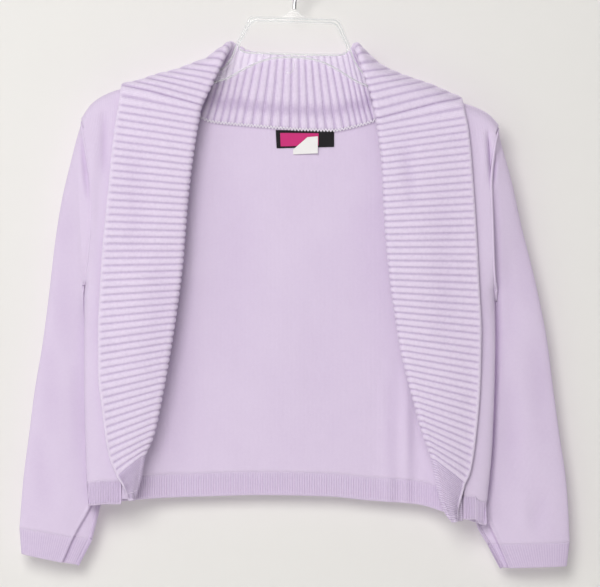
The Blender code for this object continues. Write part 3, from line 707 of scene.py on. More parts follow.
def aroundShoulder():
    # Distances round the shoulder from the seam on its top down to the flat cloth, and
    # how far below the top each one is.
    around = np.linspace(body["seamGap"] / 2, quarter, body["shoulderRows"])
    return around, body["shoulderRadius"] * (1 - np.cos(around / body["shoulderRadius"]))


def rowsDown(start, hem, count):
    # Heights of the rows from a row of points down to just above the hem band.
    foot = tableLine(hem, start[:, 0]) + body["hemHeight"] + body["seamGap"]
    return start[:, 2] + (foot - start[:, 2]) * np.linspace(0, 1, count)[1:, None]


def frontGrid(side):
    # Rows round the shoulder, then rows down to the hem band; columns from side to edge.
    u = np.linspace(0, 1, panels["frontColumns"]) ** panels["frontCrowding"]
    around, drop = (part[:, None] for part in aroundShoulder())
    outer = tableLine(bodySide[side], tipZ(side) - drop)
    inner = tableLine(frontEdge[side], frontEdge[side][0][0] - drop)
    x = outer + (inner - outer) * u
    upper = onShoulder(x, -around + 0 * x, 0.0)
    z = rowsDown(upper[-1], frontHemLine[side], panels["frontRows"])
    outer = tableLine(bodySide[side], z[:, 0])[:, None]
    inner = tableLine(frontEdge[side], z[:, -1])[:, None]
    x = outer + (inner - outer) * u
    lower = np.stack([x, frontY(side, x, z), z], axis=-1)
    return np.vstack([upper, lower])


def backGrid():
    # As the front, with the top row along the shoulder and neck seams.
    neckRight, neckLeft = frontEdge[right][0][1], frontEdge[left][0][1]
    count = panels["backColumns"] // 4
    margin = panels["neckMargin"]
    seam = body["seamGap"] / 2

    def across(zRight, zLeft):
        start = tableLine(bodySide[right], zRight)
        end = tableLine(bodySide[left], zLeft)
        first = np.linspace(start, neckRight, count, axis=-1)
        middle = np.linspace(neckRight, neckLeft, 2 * count)[1:-1]
        middle = np.broadcast_to(middle, (len(first), 2 * count - 2))
        last = np.linspace(neckLeft, end, count, axis=-1)
        return np.hstack([first, middle, last])

    around, drop = aroundShoulder()
    x = across(tipZ(right) - drop, tipZ(left) - drop)
    inNeck = (x > neckRight + margin) & (x < neckLeft - margin)
    top = np.where(inNeck, roundDistance(x, neckSeamZ(x, -seam)), seam)
    last = np.maximum(quarter, top + body["shoulderRadius"])
    share = ((around - seam) / (quarter - seam))[:, None]
    upper = onShoulder(x, top + (last - top) * share, 0.0)
    z = rowsDown(upper[-1], hemLine, panels["backRows"])
    x = across(z[:, 0], z[:, -1])
    lower = np.stack([x, backY(x, z), z], axis=-1)
    return np.vstack([upper, lower])


def fineRibs(phase, share):
    # Ripple of a band's wall, a cosine of the rib count that fades at the band's two edges, and the
    # painted shade in its grooves.
    raised = 0.5 + 0.5 * np.cos(2 * math.pi * phase)
    fade = smooth(share / panels["fineStart"]) * smooth((1 - share) / panels["fineEnd"])
    ripple = panels["fineDepth"] * (raised - panels["fineLevel"]) * fade
    return ripple, (1 - raised) * panels["fineDark"] * fade


def bandShell(name, topRow, depthOf, out):
    # Hem band: the panel's last row carried down, with fine upright ribs on both faces.
    rows, gap = panels["bandRows"], panels["bandGap"]
    length = lengthAlong(topRow)[-1]
    ribs = int(round(length / panels["finePitch"]))
    line = resampled(topRow, np.linspace(0, 1, ribs * panels["fineSamples"] + 1) * length)
    drop = np.linspace(0, 1, rows)[:, None]
    x = np.broadcast_to(line[:, 0], (rows, len(line)))
    z = line[:, 2] - gap - (body["hemHeight"] + body["seamGap"] - gap) * drop
    ripple, dark = fineRibs(np.linspace(0, ribs, len(line)), drop)
    inner = np.stack([x, depthOf(x, z), z], axis=-1)
    inner = inner - out * gridNormals(inner, False) * (0.5 * ripple)[..., None]
    made = clothShell(
        name, inner, body["wall"] + ripple, out, measured(inner), finishes["fineRib"],
        grooveAndShade=dark,
    )
    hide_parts(name.replace("Cloth", ""))


def buildBack():
    # Groove mark: painted shade along the back's creases.
    inner, hollowShade = creased(backGrid(), panels["backCreases"])
    made = clothShell(
        "backCloth", inner, body["wall"], -1, measured(inner), finishes["jersey"],
        grooveAndShade=hollowShade,
    )
    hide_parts("back")
    bandShell("back_hemCloth", inner[-1], backY, -1)


def buildFront(side):
    word = wordOf[side]
    # Groove mark: painted shade along the front's creases.
    inner, hollowShade = creased(frontGrid(side), panels["creases"][side])
    name = word + "_front"
    made = clothShell(
        name + "Cloth", inner, body["wall"], -side, measured(inner), finishes["jersey"],
        grooveAndShade=hollowShade,
    )
    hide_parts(name)
    bandShell(
        name + "_hemCloth", inner[-1], lambda x, z: frontY(side, x, z), -side,
    )


# Sleeves

sleeves = {
    "around": 210, "rows": 112,
    "capRows": 18, "capPasses": 6,    # rows from the armhole to the first ring
    "swellPower": 0.7,                # below 1, the layers stand further apart
    "holeInset": 0.6,                 # armhole ring, in from the cloth's edge
    "holeGap": 1.45, "holeGapLow": 2.2,    # out from the body's side, and more low down
    "holeTurn": 0.08,
    "cuffGap": 0.15, "cuffRows": 14, "cuffRibs": 64,
    "seamInset": 0.6, "seamRadius": 1.35, "seamLift": 0.8,    # cord round the armhole
    "seamPoints": 360, "seamSides": 10,
    # Columns: x and z of one end, x and z of the other, width, depth.
    "creases": {
        right: [
            (-225, -182, -216, -262, 3.5, 3.4), (-238, -250, -244, -330, 12, 1.2),
            (-247, -320, -240, -430, 13, 1.5), (-262, -390, -252, -520, 12, 1.3),
            (-231, -430, -226, -540, 10, 1.2), (-272, -500, -262, -590, 10, 1.2),
            (-240, -540, -246, -600, 9, -1.0),
        ],
        left: [
            (209, -206, 205, -248, 2.8, 3.8), (215, -184, 211, -226, 2.5, 1.8),
            (206, -236, 210, -420, 5.5, 4.6), (209, -380, 200, -575, 6.0, 4.2),
            (232, -260, 246, -380, 12, 1.2), (222, -300, 226, -420, 10, 1.0),
            (252, -400, 262, -520, 13, 1.5), (225, -440, 228, -560, 12, 1.4),
            (262, -560, 250, -612, 9, 1.0), (240, -560, 238, -610, 7, -0.8),
        ],
    },
    "backCreases": {
        right: [(-240, -280, -246, -400, 12, 1.4), (-232, -420, -240, -560, 12, 1.3)],
        left: [(228, -280, 238, -400, 12, 1.4), (222, -420, 240, -560, 12, 1.3)],
    },
}

# The front layer of each sleeve folds under at the cuff.
tuck = {
    "line": {    # x, z from the top
        right: [(-199, -520), (-206, -556), (-215, -580), (-234, -615), (-245, -640)],
        left: [(184, -540), (190, -568), (199, -592), (213, -622), (224, -648)],
    },
    "depth": 4.0, "start": -0.5, "width": 1.0,
    "fade": 40,                       # height over which the fold begins
    "sideTurn": 0.2,
    "swell": 0.7, "swellAt": -2.2, "swellWidth": 1.6,
    # Painted shade along the fold at the tuck line: how dark, and where and how wide across it.
    "dark": 0.95, "darkAt": 0.2, "darkWidth": 1.0,
}


def armholeRing(side, turns):
    # Ring from the shoulder's end to the underarm, with the front half at the first turns.
    # It lies on the round of the shoulder, and its halves meet where the sides are closed.
    inset = sleeves["holeInset"]
    top = tipZ(side) - inset
    low = body["underarm"][side] + inset
    z = (top + low) / 2 + (top - low) / 2 * np.cos(turns)
    shut = closing(side, z)
    gap = sleeves["holeGap"] + sleeves["holeGapLow"] * shut
    x = tableLine(bodySide[side], z) + side * gap
    swell = body["shoulderRadius"] * quarterRound((top - z) / body["shoulderRadius"])
    middle = body["shoulderDepth"]
    front = (middle - swell) * (1 - shut) + (sideDepth(side, z) - inset) * shut
    behind = (middle + swell) * (1 - shut) + (sideDepth(side, z) + inset) * shut
    sine = np.sin(turns)
    blend = 0.5 - 0.5 * sine / np.maximum(np.abs(sine), sleeves["holeTurn"])
    y = front + (behind - front) * np.clip(blend, 0, 1)
    return np.stack([x, y, z], axis=-1)


def foldRings(rows, turns):
    # Flattened rings between an outer and an inner fold; the swell is a root of a sine.
    outerX, outerZ, innerX, innerZ, outerY, innerY, half = rows.T[:, :, None]
    share = (1 - np.cos(turns)) / 2
    swell = np.sign(np.sin(turns)) * np.abs(np.sin(turns)) ** sleeves["swellPower"]
    return np.stack([
        outerX + (innerX - outerX) * share,
        outerY + (innerY - outerY) * share - half * swell,
        outerZ + (innerZ - outerZ) * share,
    ], axis=-1)


def tucked(points, side, turns):
    # Past the tuck line the front layer drops back, over a short step, and just before the line it
    # swells a little. Also gives the painted shade along the fold at the line.
    line = tuck["line"][side]
    z = points[..., 2]
    past = -side * (points[..., 0] - through([p[1] for p in line], [p[0] for p in line], z))
    fade = smooth((line[0][1] - z) / tuck["fade"])
    front = smooth(np.sin(turns) / tuck["sideTurn"])
    swell = tuck["swell"] * bell(past - tuck["swellAt"], tuck["swellWidth"])
    sink = tuck["depth"] * smooth((past - tuck["start"]) / tuck["width"])
    made = points.copy()
    made[..., 1] += (sink - swell) * fade * front
    return made, tuck["dark"] * bell(past - tuck["darkAt"], tuck["darkWidth"]) * fade * front


def buildSleeve(side):
    word = wordOf[side]
    name = word + "_sleeve"
    table = np.hstack([sleeveRings[side], sleeveDepths])
    turns = ringTurns(sleeves["around"])
    places = np.linspace(0, len(table) - 1, sleeves["rows"])
    rings = foldRings(through(np.arange(len(table)), table, places), turns)
    cap = np.linspace(0, 1, sleeves["capRows"], endpoint=False)[:, None, None]
    hole = armholeRing(side, turns)[None]
    grid = np.vstack([hole + (rings[:1] - hole) * cap, rings])
    grid = softened(grid, sleeves["capPasses"])
    grid, hollowShade = creased(grid, sleeves["creases"][side], True, -1)
    grid, behind = creased(grid, sleeves["backCreases"][side], True, 1)
    grid, line = tucked(grid, side, turns)
    # Groove mark: painted shade along the creases of both layers and along the tuck's fold.
    made = clothShell(
        name + "Cloth", grid, body["wall"], side, measured(grid, True),
        finishes["jersey"], wrap=True, grooveAndShade=np.maximum(np.maximum(hollowShade, behind), line),
    )
    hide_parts(name)

    # Seam cord round the armhole, level with the cloth's outer face.
    path = armholeRing(side, ringTurns(sleeves["seamPoints"]))
    away = np.cross(np.roll(path, -1, axis=0) - np.roll(path, 1, axis=0), (1, 0, 0))
    path += sleeves["seamLift"] * unit(away)
    path[:, 0] -= side * sleeves["seamInset"]
    threadTube(
        word + "ArmholeSeam", np.vstack([path, path[:2]]), sleeves["seamRadius"],
        sleeves["seamSides"], finishes["jersey"],
    )

    # Cuff, from the sleeve's last ring to its own end.
    turns = ringTurns(sleeves["cuffRibs"] * panels["fineSamples"])
    start = table[-1].copy()
    start[[1, 3]] -= sleeves["cuffGap"]
    end = np.array(cuffEnd[side] + sleeveDepths[-1])
    share = np.linspace(0, 1, sleeves["cuffRows"])[:, None]
    grid, line = tucked(foldRings(start + (end - start) * share, turns), side, turns)
    length = lengthAlong(grid[0])
    ripple, dark = fineRibs(length / length[-1] * sleeves["cuffRibs"], share)
    # Groove mark: painted shade in the fine ribs' grooves and along the tuck's fold.
    cuff = clothShell(
        word + "_cuffCloth", grid, body["wall"] + ripple, side, measured(grid, True),
        finishes["fineRib"], wrap=True, grooveAndShade=np.maximum(dark, line),
    )
    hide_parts(word + "_cuff")


# Collar

collar = {
    "ribs": {"back": 10, "neck": 21, "lapel": 53, "point": 26},
    "samples": 8, "pointSamples": 6,    # rows for each wide rib
    "neckColumns": (34, 9, 40),         # of the under layer, the roll and the fall
    "lapelColumns": (8, 9, 36),
    "ribWall": 3.0, "thin": 2.3,        # wall on a rib and in a groove
    "grooveWidth": 0.15,                # in ribs
    "pointDark": 0.75,
    "crown": 0.22,                      # how much rounder than flat a rib is
    "boundAt": 1.6, "boundFade": 1.2,   # the ribs end this far from the free edge
    "bead": 0.5, "beadAt": 1.4, "beadWidth": 0.9, "beadEnd": 0.8,    # along the free edge
    "bulge": 0.12,
    "radius": 3.0, "radiusShare": 0.25,    # of the roll, and at most this share of the fall
    "underLift": 1.0, "fallLift": 4.7,     # of each layer's inner face off the body
    "faceLift": 7.7,                       # of the fall's outer face at the free edge
    "puff": 2.2, "puffReach": 1.15,        # how far the lapel stands off its own line
    "puffRibs": 7,
    "frontGap": 2.0,                       # from the front's edge to the seam
    "neckMiddle": 4, "neckInset": 1.5, "neckStart": 4,
    "neckEndZ": {right: -150, left: -160}, "seamPoints": (40, 12),
    "standCrease": 0.9, "standAt": 0.25, "standWidth": 0.15,    # shares of the under layer
    "standDark": 0.8, "darkAt": 0.27, "darkWidth": 0.09,
    "standEnd": 14, "standFade": 4,     # in ribs from the middle of the back
    "rise": 0.19, "riseRibs": 7,        # slope of the ribs on the shoulder, outward
    "topMargin": 0.01,
    "blendStart": 2, "blendWidth": 16,  # w over which the fall becomes straight
    "creases": {
        right: [(-166, -190, -172, -330, 14, 1.2), (-140, -300, -150, -450, 16, 0.8)],
        left: [(112, -196, 121, -268, 7, 1.6), (150, -230, 156, -420, 16, 1.0)],
    },
}

# Collar round the neck: rib from the middle of the back, then x and distance round the
# shoulder of the roll and of the free edge, then roll radius.
collarNeck = {
    right: [
        (0, 3, 21.0, 4, 108, 2.0), (5, -33, 20.5, -50, 107, 2.0), (8, -53, 16.0, -82, 82, 2.0),
        (10, -64, 5.0, -108, 70, 2.0), (12, -70, -8.0, -130, 56, 1.8),
        (14, -76, -17.0, -150, 41, 1.8), (16, -82, -25.0, -163, 28, 2.0),
        (18, -88, -33.0, -173, 15, 2.4), (21, -98, -47.0, -182, -1, 3.0),
    ],
    left: [
        (0, 3, 21.0, 4, 108, 2.0), (5, 36, 20.5, 52, 107, 2.0), (8, 53, 16.0, 80, 82.5, 2.0),
        (10, 59, 6.0, 104, 69, 2.0), (12, 62, -8.0, 126, 54, 1.8),
        (14, 67, -19.0, 144, 40, 1.8), (16, 72, -29.0, 156, 27, 2.0),
        (18, 77, -38.0, 165, 14, 2.4), (21, 83, -52.0, 173, -1, 3.0),
    ],
}

# Lapels: x, z along the roll and along the free edge, then along the point's.
lapelRoll = {
    right: [
        (-98, -161), (-105, -201), (-112, -257), (-118, -330), (-124, -376),
        (-131, -421), (-139, -465), (-148, -504), (-157, -523),
    ],
    left: [
        (83, -174), (89, -222), (92, -281), (97, -337), (102, -375), (109, -417),
        (122, -469), (131, -501), (141, -527),
    ],
}
lapelEdge = {
    right: [
        (-182, -145.4), (-189, -188), (-197, -265), (-201, -306), (-204, -354),
        (-206, -396), (-206, -440), (-202, -477), (-195, -525), (-186, -549),
    ],
    left: [
        (173, -159.5), (179, -183), (185, -249), (189, -313), (191, -354), (193, -396),
        (192, -448), (188, -501), (181, -545), (176, -556),
    ],
}
pointRoll = {
    right: [(-157, -523), (-161, -547), (-168, -570)],
    left: [(141, -527), (148, -564), (155, -585), (162, -594)],
}
pointEdge = {
    right: [(-186, -549), (-180, -558), (-171, -573)],
    left: [(176, -556), (174, -564), (170, -578), (166, -595)],
}


def heightAt(place):
    # Height of the collar's outer face at x and w.
    return onShoulder(place[..., 0], place[..., 1], collar["faceLift"])[..., 2]


def faceDistance(x, z):
    # w of a point of the collar's outer face at a height z, below zero on the front.
    lift = collar["faceLift"]
    radius = body["shoulderRadius"] + lift
    drop = shoulderZ(x) + lift - z
    bend = np.arccos(np.clip(1 - drop / radius, 0, 1)) * body["shoulderRadius"]
    return -np.where(drop < radius, bend, quarter + drop - radius)


def imageStraight(start, end, share, rise):
    # x and w of points from start to end that lie on a straight line as seen from the
    # front, with the rise per millimetre outward, or without one rising to the end's
    # height. Past the top of the shoulder, w goes on evenly to the end's.
    startW = start[:, None, 1]
    x = start[:, None, 0] + (end - start)[:, None, 0] * share
    slope = rise
    if rise is None:
        span = np.abs(end[:, 0] - start[:, 0])
        slope = (heightAt(end) - heightAt(start)) / np.maximum(span, 1)
    z = heightAt(start)[:, None] + slope[:, None] * np.abs(x - start[:, None, 0])
    top = shoulderZ(x) + collar["faceLift"]
    beyond = faceDistance(x, np.minimum(z, top - collar["topMargin"]))
    if rise is not None:
        over = (z >= top - 2 * collar["topMargin"]) | (startW > 0)
        first = np.where(over.any(axis=1), over.argmax(axis=1), share.shape[1] - 1)
        topShare = np.broadcast_to(share, x.shape)[np.arange(len(x)), first][:, None]
        topW = np.where(startW > 0, startW, 0)
        later = np.clip((share - topShare) / np.maximum(1 - topShare, 0.02), 0, 1)
        beyond = np.where(share > topShare, topW + (end[:, None, 1] - topW) * later, beyond)
    plain = startW + (end - start)[:, None, 1] * share
    blend = smooth((-startW - collar["blendStart"]) / collar["blendWidth"])
    return np.stack([x, plain + (beyond - plain) * blend], axis=-1)


def collarGrid(seam, roll, edge, radius, puff, crease, rise, counts):
    # Each row is one section: straight from the seam to the roll, half round the roll,
    # and back to the free edge, straight as seen from the front.
    inward = roll - edge
    span = np.linalg.norm(inward, axis=1, keepdims=True)
    inward = inward / span
    radius = np.minimum(radius[:, None], collar["radiusShare"] * span)
    centre = roll - inward * (collar["ribWall"] + radius)
    low = collar["underLift"]
    high = low + 2 * radius
    under = np.linspace(0, 1, counts[0])[None, :]
    turn = np.linspace(0, math.pi, counts[1] + 2)[1:-1][None, :]
    fall = np.linspace(0, 1, counts[2])[None, :]
    underPlace = seam[:, None] + (centre - seam)[:, None] * under[..., None]
    dip = crease[:, None] * bell(under - collar["standAt"], collar["standWidth"])
    turnPlace = centre[:, None] + inward[:, None] * (radius * np.sin(turn))[..., None]
    fallPlace = imageStraight(centre, edge, fall, rise)
    swell = puff[:, None] * np.sin(math.pi * np.minimum(fall * collar["puffReach"], 1))
    lifts = np.hstack([
        low + dip,
        low + radius * (1 - np.cos(turn)),
        high + (collar["fallLift"] - high) * fall + swell,
    ])
    places = np.concatenate([underPlace, turnPlace, fallPlace], axis=1)
    return onShoulder(places[..., 0], places[..., 1], lifts)


def fromGroove(marks):
    # Distance to the nearest whole number, where the grooves are.
    return np.abs(marks - np.round(marks))


def ribProfile(marks):
    # Flat crowns with a narrow bell-shaped groove at each whole number.
    return bell(fromGroove(marks), collar["grooveWidth"])


def collarShell(name, grid, marks, grooveAndShade, out, shade):
    # The ribs run across the strip and fade into the bound edge, which is a narrow bead.
    steps = np.linalg.norm(np.diff(grid, axis=1), axis=-1)
    fromEdge = np.cumsum(steps[:, ::-1], axis=1)[:, ::-1]
    fromEdge = np.concatenate([fromEdge, np.zeros((len(grid), 1))], axis=1)
    bound = smooth((fromEdge - collar["boundAt"]) / collar["boundFade"])
    crown = collar["crown"] * (1 - (2 - 4 * fromGroove(marks)) ** 2)[:, None] * bound
    # The rib grooves also darken the colour, painted shade, and shade adds the painted shade of the
    # lapels' creases and of the stand's crease.
    grooveAndShade = grooveAndShade[:, None] * bound
    wall = collar["ribWall"] - (collar["ribWall"] - collar["thin"]) * grooveAndShade
    bead = collar["bead"] * bell(fromEdge - collar["beadAt"], collar["beadWidth"])
    end = collar["bead"] * smooth(1 - fromEdge / collar["beadEnd"])
    u = lengthAlong(grid[:, grid.shape[1] // 2])
    v = np.concatenate([[0], np.cumsum(steps.mean(axis=0))])
    uv = np.stack(np.broadcast_arrays(u[:, None], v[None, :]), axis=-1)
    made = clothShell(
        name + "Cloth", grid, wall + crown + bead - end, out, uv, finishes["rib"],
        grooveAndShade=np.clip(grooveAndShade + shade, 0, 1), bulge=collar["bulge"],
    )
    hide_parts(name)


def frontPlace(points):
    # x and w of points on the front given by x and z.
    return np.stack([points[:, 0], -roundDistance(points[:, 0], points[:, 1])], axis=-1)


def frontSeam(side, z):
    # x and w of the collar's seam on the front at heights z.
    x = tableLine(frontEdge[side], z) - side * collar["frontGap"]
    return frontPlace(np.stack([x, z], axis=-1))


def neckRise(side, marks):
    # Slope of the neck's ribs: at the last one it is the slope of the lapel's first.
    ribs = collar["ribs"]["neck"]
    roll, edge = neckRows(side, np.array([ribs], float))[1:3]
    inward = (roll - edge) / np.linalg.norm(roll - edge)
    centre = roll - inward * (collar["ribWall"] + collar["radius"])
    last = (heightAt(edge) - heightAt(centre)) / np.abs(edge[:, 0] - centre[:, 0])
    share = smooth((ribs - np.abs(marks)) / collar["riseRibs"])
    return last + (collar["rise"] - last) * share


def standShade(fade):
    # Soft dark band along the crease of the stand, by the share of the under layer.
    counts = collar["neckColumns"]
    band = bell(np.linspace(0, 1, counts[0]) - collar["darkAt"], collar["darkWidth"])
    band = np.concatenate([band, np.zeros(counts[1] + counts[2])])
    return collar["standDark"] * fade[:, None] * band


def seamLine(side):
    # The collar's seam in x and w, from the middle of the back round to the front.
    neckZ, neckX = frontEdge[side][0]
    behind, before = collar["seamPoints"]
    x = np.linspace(collar["neckMiddle"], neckX - side * collar["neckInset"], behind)
    backPart = np.stack([x, roundDistance(x, neckSeamZ(x, body["neckGap"]))], axis=-1)
    z = np.linspace(neckZ - collar["neckStart"], collar["neckEndZ"][side], before)
    return np.vstack([backPart, frontSeam(side, z)])


def neckRows(side, marks):
    table = np.array(collarNeck[side], float)
    table[-1, 1:3] = frontPlace(np.array(lapelRoll[side][:1], float))[0]
    table[-1, 3:5] = frontPlace(np.array(lapelEdge[side][:1], float))[0]
    rows = through(table[:, 0], table[:, 1:], marks)
    seams = along(seamLine(side), marks / collar["ribs"]["neck"])
    return seams, rows[:, 0:2], rows[:, 2:4], rows[:, 4]


def neckShell(name, marks, rows, rise, fade, out):
    # Part of the collar round the neck, whose stand crease is as strong as fade.
    seam, roll, edge, radius = rows
    grid = collarGrid(
        seam, roll, edge, radius, 0 * marks, collar["standCrease"] * fade, rise,
        collar["neckColumns"],
    )
    shade = standShade(fade)
    collarShell(name, grid, marks, ribProfile(marks), out, shade)


def buildCollarBack():
    ribs, samples = collar["ribs"]["back"], collar["samples"]
    marks = np.arange(-ribs * samples, ribs * samples + 1) / samples
    parts = [neckRows(right, -marks[marks < 0]), neckRows(left, marks[marks >= 0])]
    rows = [np.concatenate(pair) for pair in zip(*parts)]
    rise = np.where(marks < 0, neckRise(right, marks), neckRise(left, marks))
    neckShell(
        "collar_back", marks, rows, rise, np.ones(len(marks)), 1,
    )


def buildCollarShoulder(side):
    word = wordOf[side]
    ribs, samples = collar["ribs"], collar["samples"]
    marks = np.linspace(ribs["back"], ribs["neck"], (ribs["neck"] - ribs["back"]) * samples + 1)
    fade = smooth((collar["standEnd"] - marks) / collar["standFade"])
    neckShell(
        f"collar_{word}_shoulder", marks, neckRows(side, marks), neckRise(side, marks), fade,
        side,
    )


def buildLapel(side):
    # The ribs' rows, then the rows of the point at the hem, which has fine ribs.
    word = wordOf[side]
    ribs = collar["ribs"]
    coarse = np.linspace(0, ribs["lapel"], ribs["lapel"] * collar["samples"] + 1)
    fineShares = np.linspace(0, 1, ribs["point"] * collar["pointSamples"] + 1)[1:]
    fineMarks = fineShares * ribs["point"]
    shares = coarse / ribs["lapel"]
    roll = np.vstack([along(lapelRoll[side], shares), along(pointRoll[side], fineShares)])
    edge = np.vstack([along(lapelEdge[side], shares), along(pointEdge[side], fineShares)])
    seam = frontSeam(side, (roll[:, 1] + edge[:, 1]) / 2)
    marks = np.concatenate([coarse, ribs["lapel"] + fineMarks])
    puff = collar["puff"] * smooth(np.minimum(marks, ribs["lapel"]) / collar["puffRibs"])
    # The point's fine grooves thin the wall and get painted shade, as deep as pointDark.
    fine = collar["pointDark"] * (0.5 + 0.5 * np.cos(2 * math.pi * fineMarks))
    grid = collarGrid(
        seam, frontPlace(roll), frontPlace(edge), np.full(len(marks), collar["radius"]), puff,
        0 * marks, None, collar["lapelColumns"],
    )
    grid, hollowShade = creased(grid, collar["creases"][side])
    collarShell(
        word + "_lapel", grid, marks, np.concatenate([ribProfile(coarse), fine]), side,
        hollowShade,
    )


# Labels and seam stitches

labels = {
    "columns": 60, "rows": 24, "bulge": 0.2,
    # Corners in x and z, then how far before the back, the wall, and how far the low
    # end curls forward.
    "black": {
        "corners": [(-21.5, -185.5), (40, -186), (40, -203), (-21, -204.5)],
        "before": 0.5, "wall": 0.6, "curl": 0.4,
    },
    "pink": {
        "corners": [(-16.8, -188.4), (23.8, -188.8), (23.8, -201.6), (-16.6, -202.6)],
        "before": 1.25, "wall": 0.2, "curl": 0.3,
    },
    "white": {
        "corners": [(12, -193), (23, -192), (23, -210), (-3, -211), (-3, -206)],
        "before": 1.9, "wall": 0.5, "curl": 1.4,
    },
}


def flatPiece(name, label, finish):
    # Patch between the upper and the lower edge line of the corners, curled forward by
    # the product of the squares of the two shares.
    corners = np.array(label["corners"], float)
    count = labels["columns"]
    low, high = corners[:, 0].min(), corners[:, 0].max()
    x = np.linspace(low, high, count)
    closed = np.vstack([corners, corners[:1]])
    top = np.full(count, -1e9)
    bottom = np.full(count, 1e9)
    for (x0, z0), (x1, z1) in zip(closed[:-1], closed[1:]):
        inside = (x >= min(x0, x1) - 1e-6) & (x <= max(x0, x1) + 1e-6)
        above = below = z0 + (z1 - z0) * (x - x0) / (x1 - x0 or 1)
        if abs(x1 - x0) < 1e-6:    # an upright edge
            above, below = max(z0, z1), min(z0, z1)
        top = np.where(inside, np.maximum(top, above), top)
        bottom = np.where(inside, np.minimum(bottom, below), bottom)
    share = np.linspace(0, 1, labels["rows"])[:, None]
    z = top + (bottom - top) * share
    bow = label["curl"] * (((x - low) / (high - low)) ** 2 * share**2)
    y = backDepth - label["before"] - bow
    points = np.stack([np.broadcast_to(x, z.shape), y, z], axis=-1)
    return clothShell(
        name, points, label["wall"], 1, measured(points), finish, bulge=labels["bulge"]
    )


def buildLabels():
    black = flatPiece("labelCloth", labels["black"], finishes["blackLabel"])
    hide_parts("label")
    pink = flatPiece("labelField", labels["pink"], finishes["pinkField"])
    white = flatPiece("size_labelCloth", labels["white"], finishes["whiteLabel"])
    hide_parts("size_label")


stitches = {
    "from": -122, "to": 116, "points": 620,
    "above": 0.3, "before": 3.0,      # from the neck seam and from the back
    "pitch": 3.4, "height": 1.7,
    "radius": 0.6, "sides": 7,
}


def buildNeckStitches():
    # Zigzag of linking thread along the inside of the neck seam.
    x = np.linspace(stitches["from"], stitches["to"], stitches["points"])
    z = tableLine(neckSeam, x) + stitches["above"]
    zigzag = 2 / math.pi * np.arcsin(np.sin(2 * math.pi * x / stitches["pitch"]))
    y = np.full_like(x, backDepth - stitches["before"])
    path = np.stack([x, y, z + stitches["height"] * zigzag], axis=-1)
    threadTube(
        "neckSeamThread", path, stitches["radius"], stitches["sides"], finishes["thread"]
    )


# Hanger

hangerShape = {
    "tilt": math.radians(-1.6), "middle": -2.0, "top": -68.5,    # its own x and z, and turn
    "rim": 0.75, "inset": 0.8, "rimY": -2.1,
    "step": 1.2, "passes": 12, "sides": 10,
    # Half outlines: x out from the middle, z.
    "outline": [
        (0, 0), (44, 0), (47, -1.5), (48.5, -4), (60, -29), (64.5, -43), (73, -54.5), (84, -60),
        (102, -67), (120, -74), (130, -77), (147, -82), (166, -87), (186, -92), (198, -100),
        (205, -108), (208, -114), (205, -118), (200, -116), (190, -107), (176, -100),
        (150, -91), (120, -83), (90, -73), (68, -66), (48, -54), (34, -47), (20, -43), (0, -41.5),
    ],
    "hole": [
        (0, -4.5), (42, -4.5), (44.5, -6), (56, -29), (57, -34), (50, -37), (34, -37.3),
        (0, -37.3),
    ],
}

hook = {
    "radius": 17.0, "wire": 4.6, "sides": 24,
    "from": -62, "to": 215,           # degrees of its round part
    "arcPoints": 110, "points": 220,
    "foot": 9, "footGap": 0.7,        # the wire starts this far above the hanger's top
    "stem": 12.0, "lean": 0.8,
    "bend": [(0, 0, -43), (3.5, 0, -38.5)],
}


def buildHangerRims():
    # Round bead along each edge of the hanger's plate, on its front.
    cosine, sine = math.cos(hangerShape["tilt"]), math.sin(hangerShape["tilt"])
    for word, push in (("outline", -1), ("hole", 1)):
        half = np.array(hangerShape[word], float)
        whole = np.vstack([half, (half * (-1, 1))[-2:0:-1], half[:1]])
        fine = resampled(whole, np.arange(0, lengthAlong(whole)[-1], hangerShape["step"]))
        fine = softened(np.vstack([fine, fine[:1]]), hangerShape["passes"])
        ahead = unit(np.gradient(fine, axis=0))
        inside = np.stack([ahead[:, 1], -ahead[:, 0]], axis=-1)
        fine = fine - push * hangerShape["inset"] * inside
        x = hangerShape["middle"] + fine[:, 0] * cosine - fine[:, 1] * sine
        z = hangerShape["top"] + fine[:, 0] * sine + fine[:, 1] * cosine
        path = np.stack([x, np.full_like(x, hangerShape["rimY"]), z], axis=-1)
        bead = threadTube(
            "hanger" + word.capitalize() + "Bead", path, hangerShape["rim"],
            hangerShape["sides"], finishes["plasticRim"],
        )
        bead.visible_shadow = False


def buildHook():
    # Round wire from the hanger's top up the stem and round the bend.
    bend = hook["radius"] + hook["wire"] / 2
    turn = np.radians(np.linspace(hook["from"], hook["to"], hook["arcPoints"]))
    arc = np.stack([bend * np.cos(turn), 0 * turn, -hook["radius"] + bend * np.sin(turn)], axis=-1)
    footX = hangerShape["middle"] - hook["foot"] * math.sin(hangerShape["tilt"])
    footZ = hangerShape["top"] + hook["foot"] * math.cos(hangerShape["tilt"])
    stem = [
        (footX, 0, footZ + hook["footGap"]),
        (footX * hook["lean"], 0, footZ + hook["stem"] / 2),
    ]
    path = np.vstack([stem, hook["bend"], arc])
    fine = along(path, np.linspace(0, 1, hook["points"]))
    made = threadTube(
        "hookWire", fine, hook["wire"] / 2, hook["sides"], finishes["chrome"]
    )
    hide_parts("hanger_hook")


buildBack()
for side in (right, left):
    buildFront(side)
    buildSleeve(side)
print("body and sleeves made")
buildCollarBack()
for side in (right, left):
    buildCollarShoulder(side)
    buildLapel(side)
print("collar made")
buildLabels()
buildNeckStitches()
buildHook()
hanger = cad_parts["hanger"]
hanger.data.materials.clear()
hanger.data.materials.append(finishes["clearPlastic"])
hanger.visible_shadow = False
buildHangerRims()
print("labels, stitches and hanger made")

# Studio

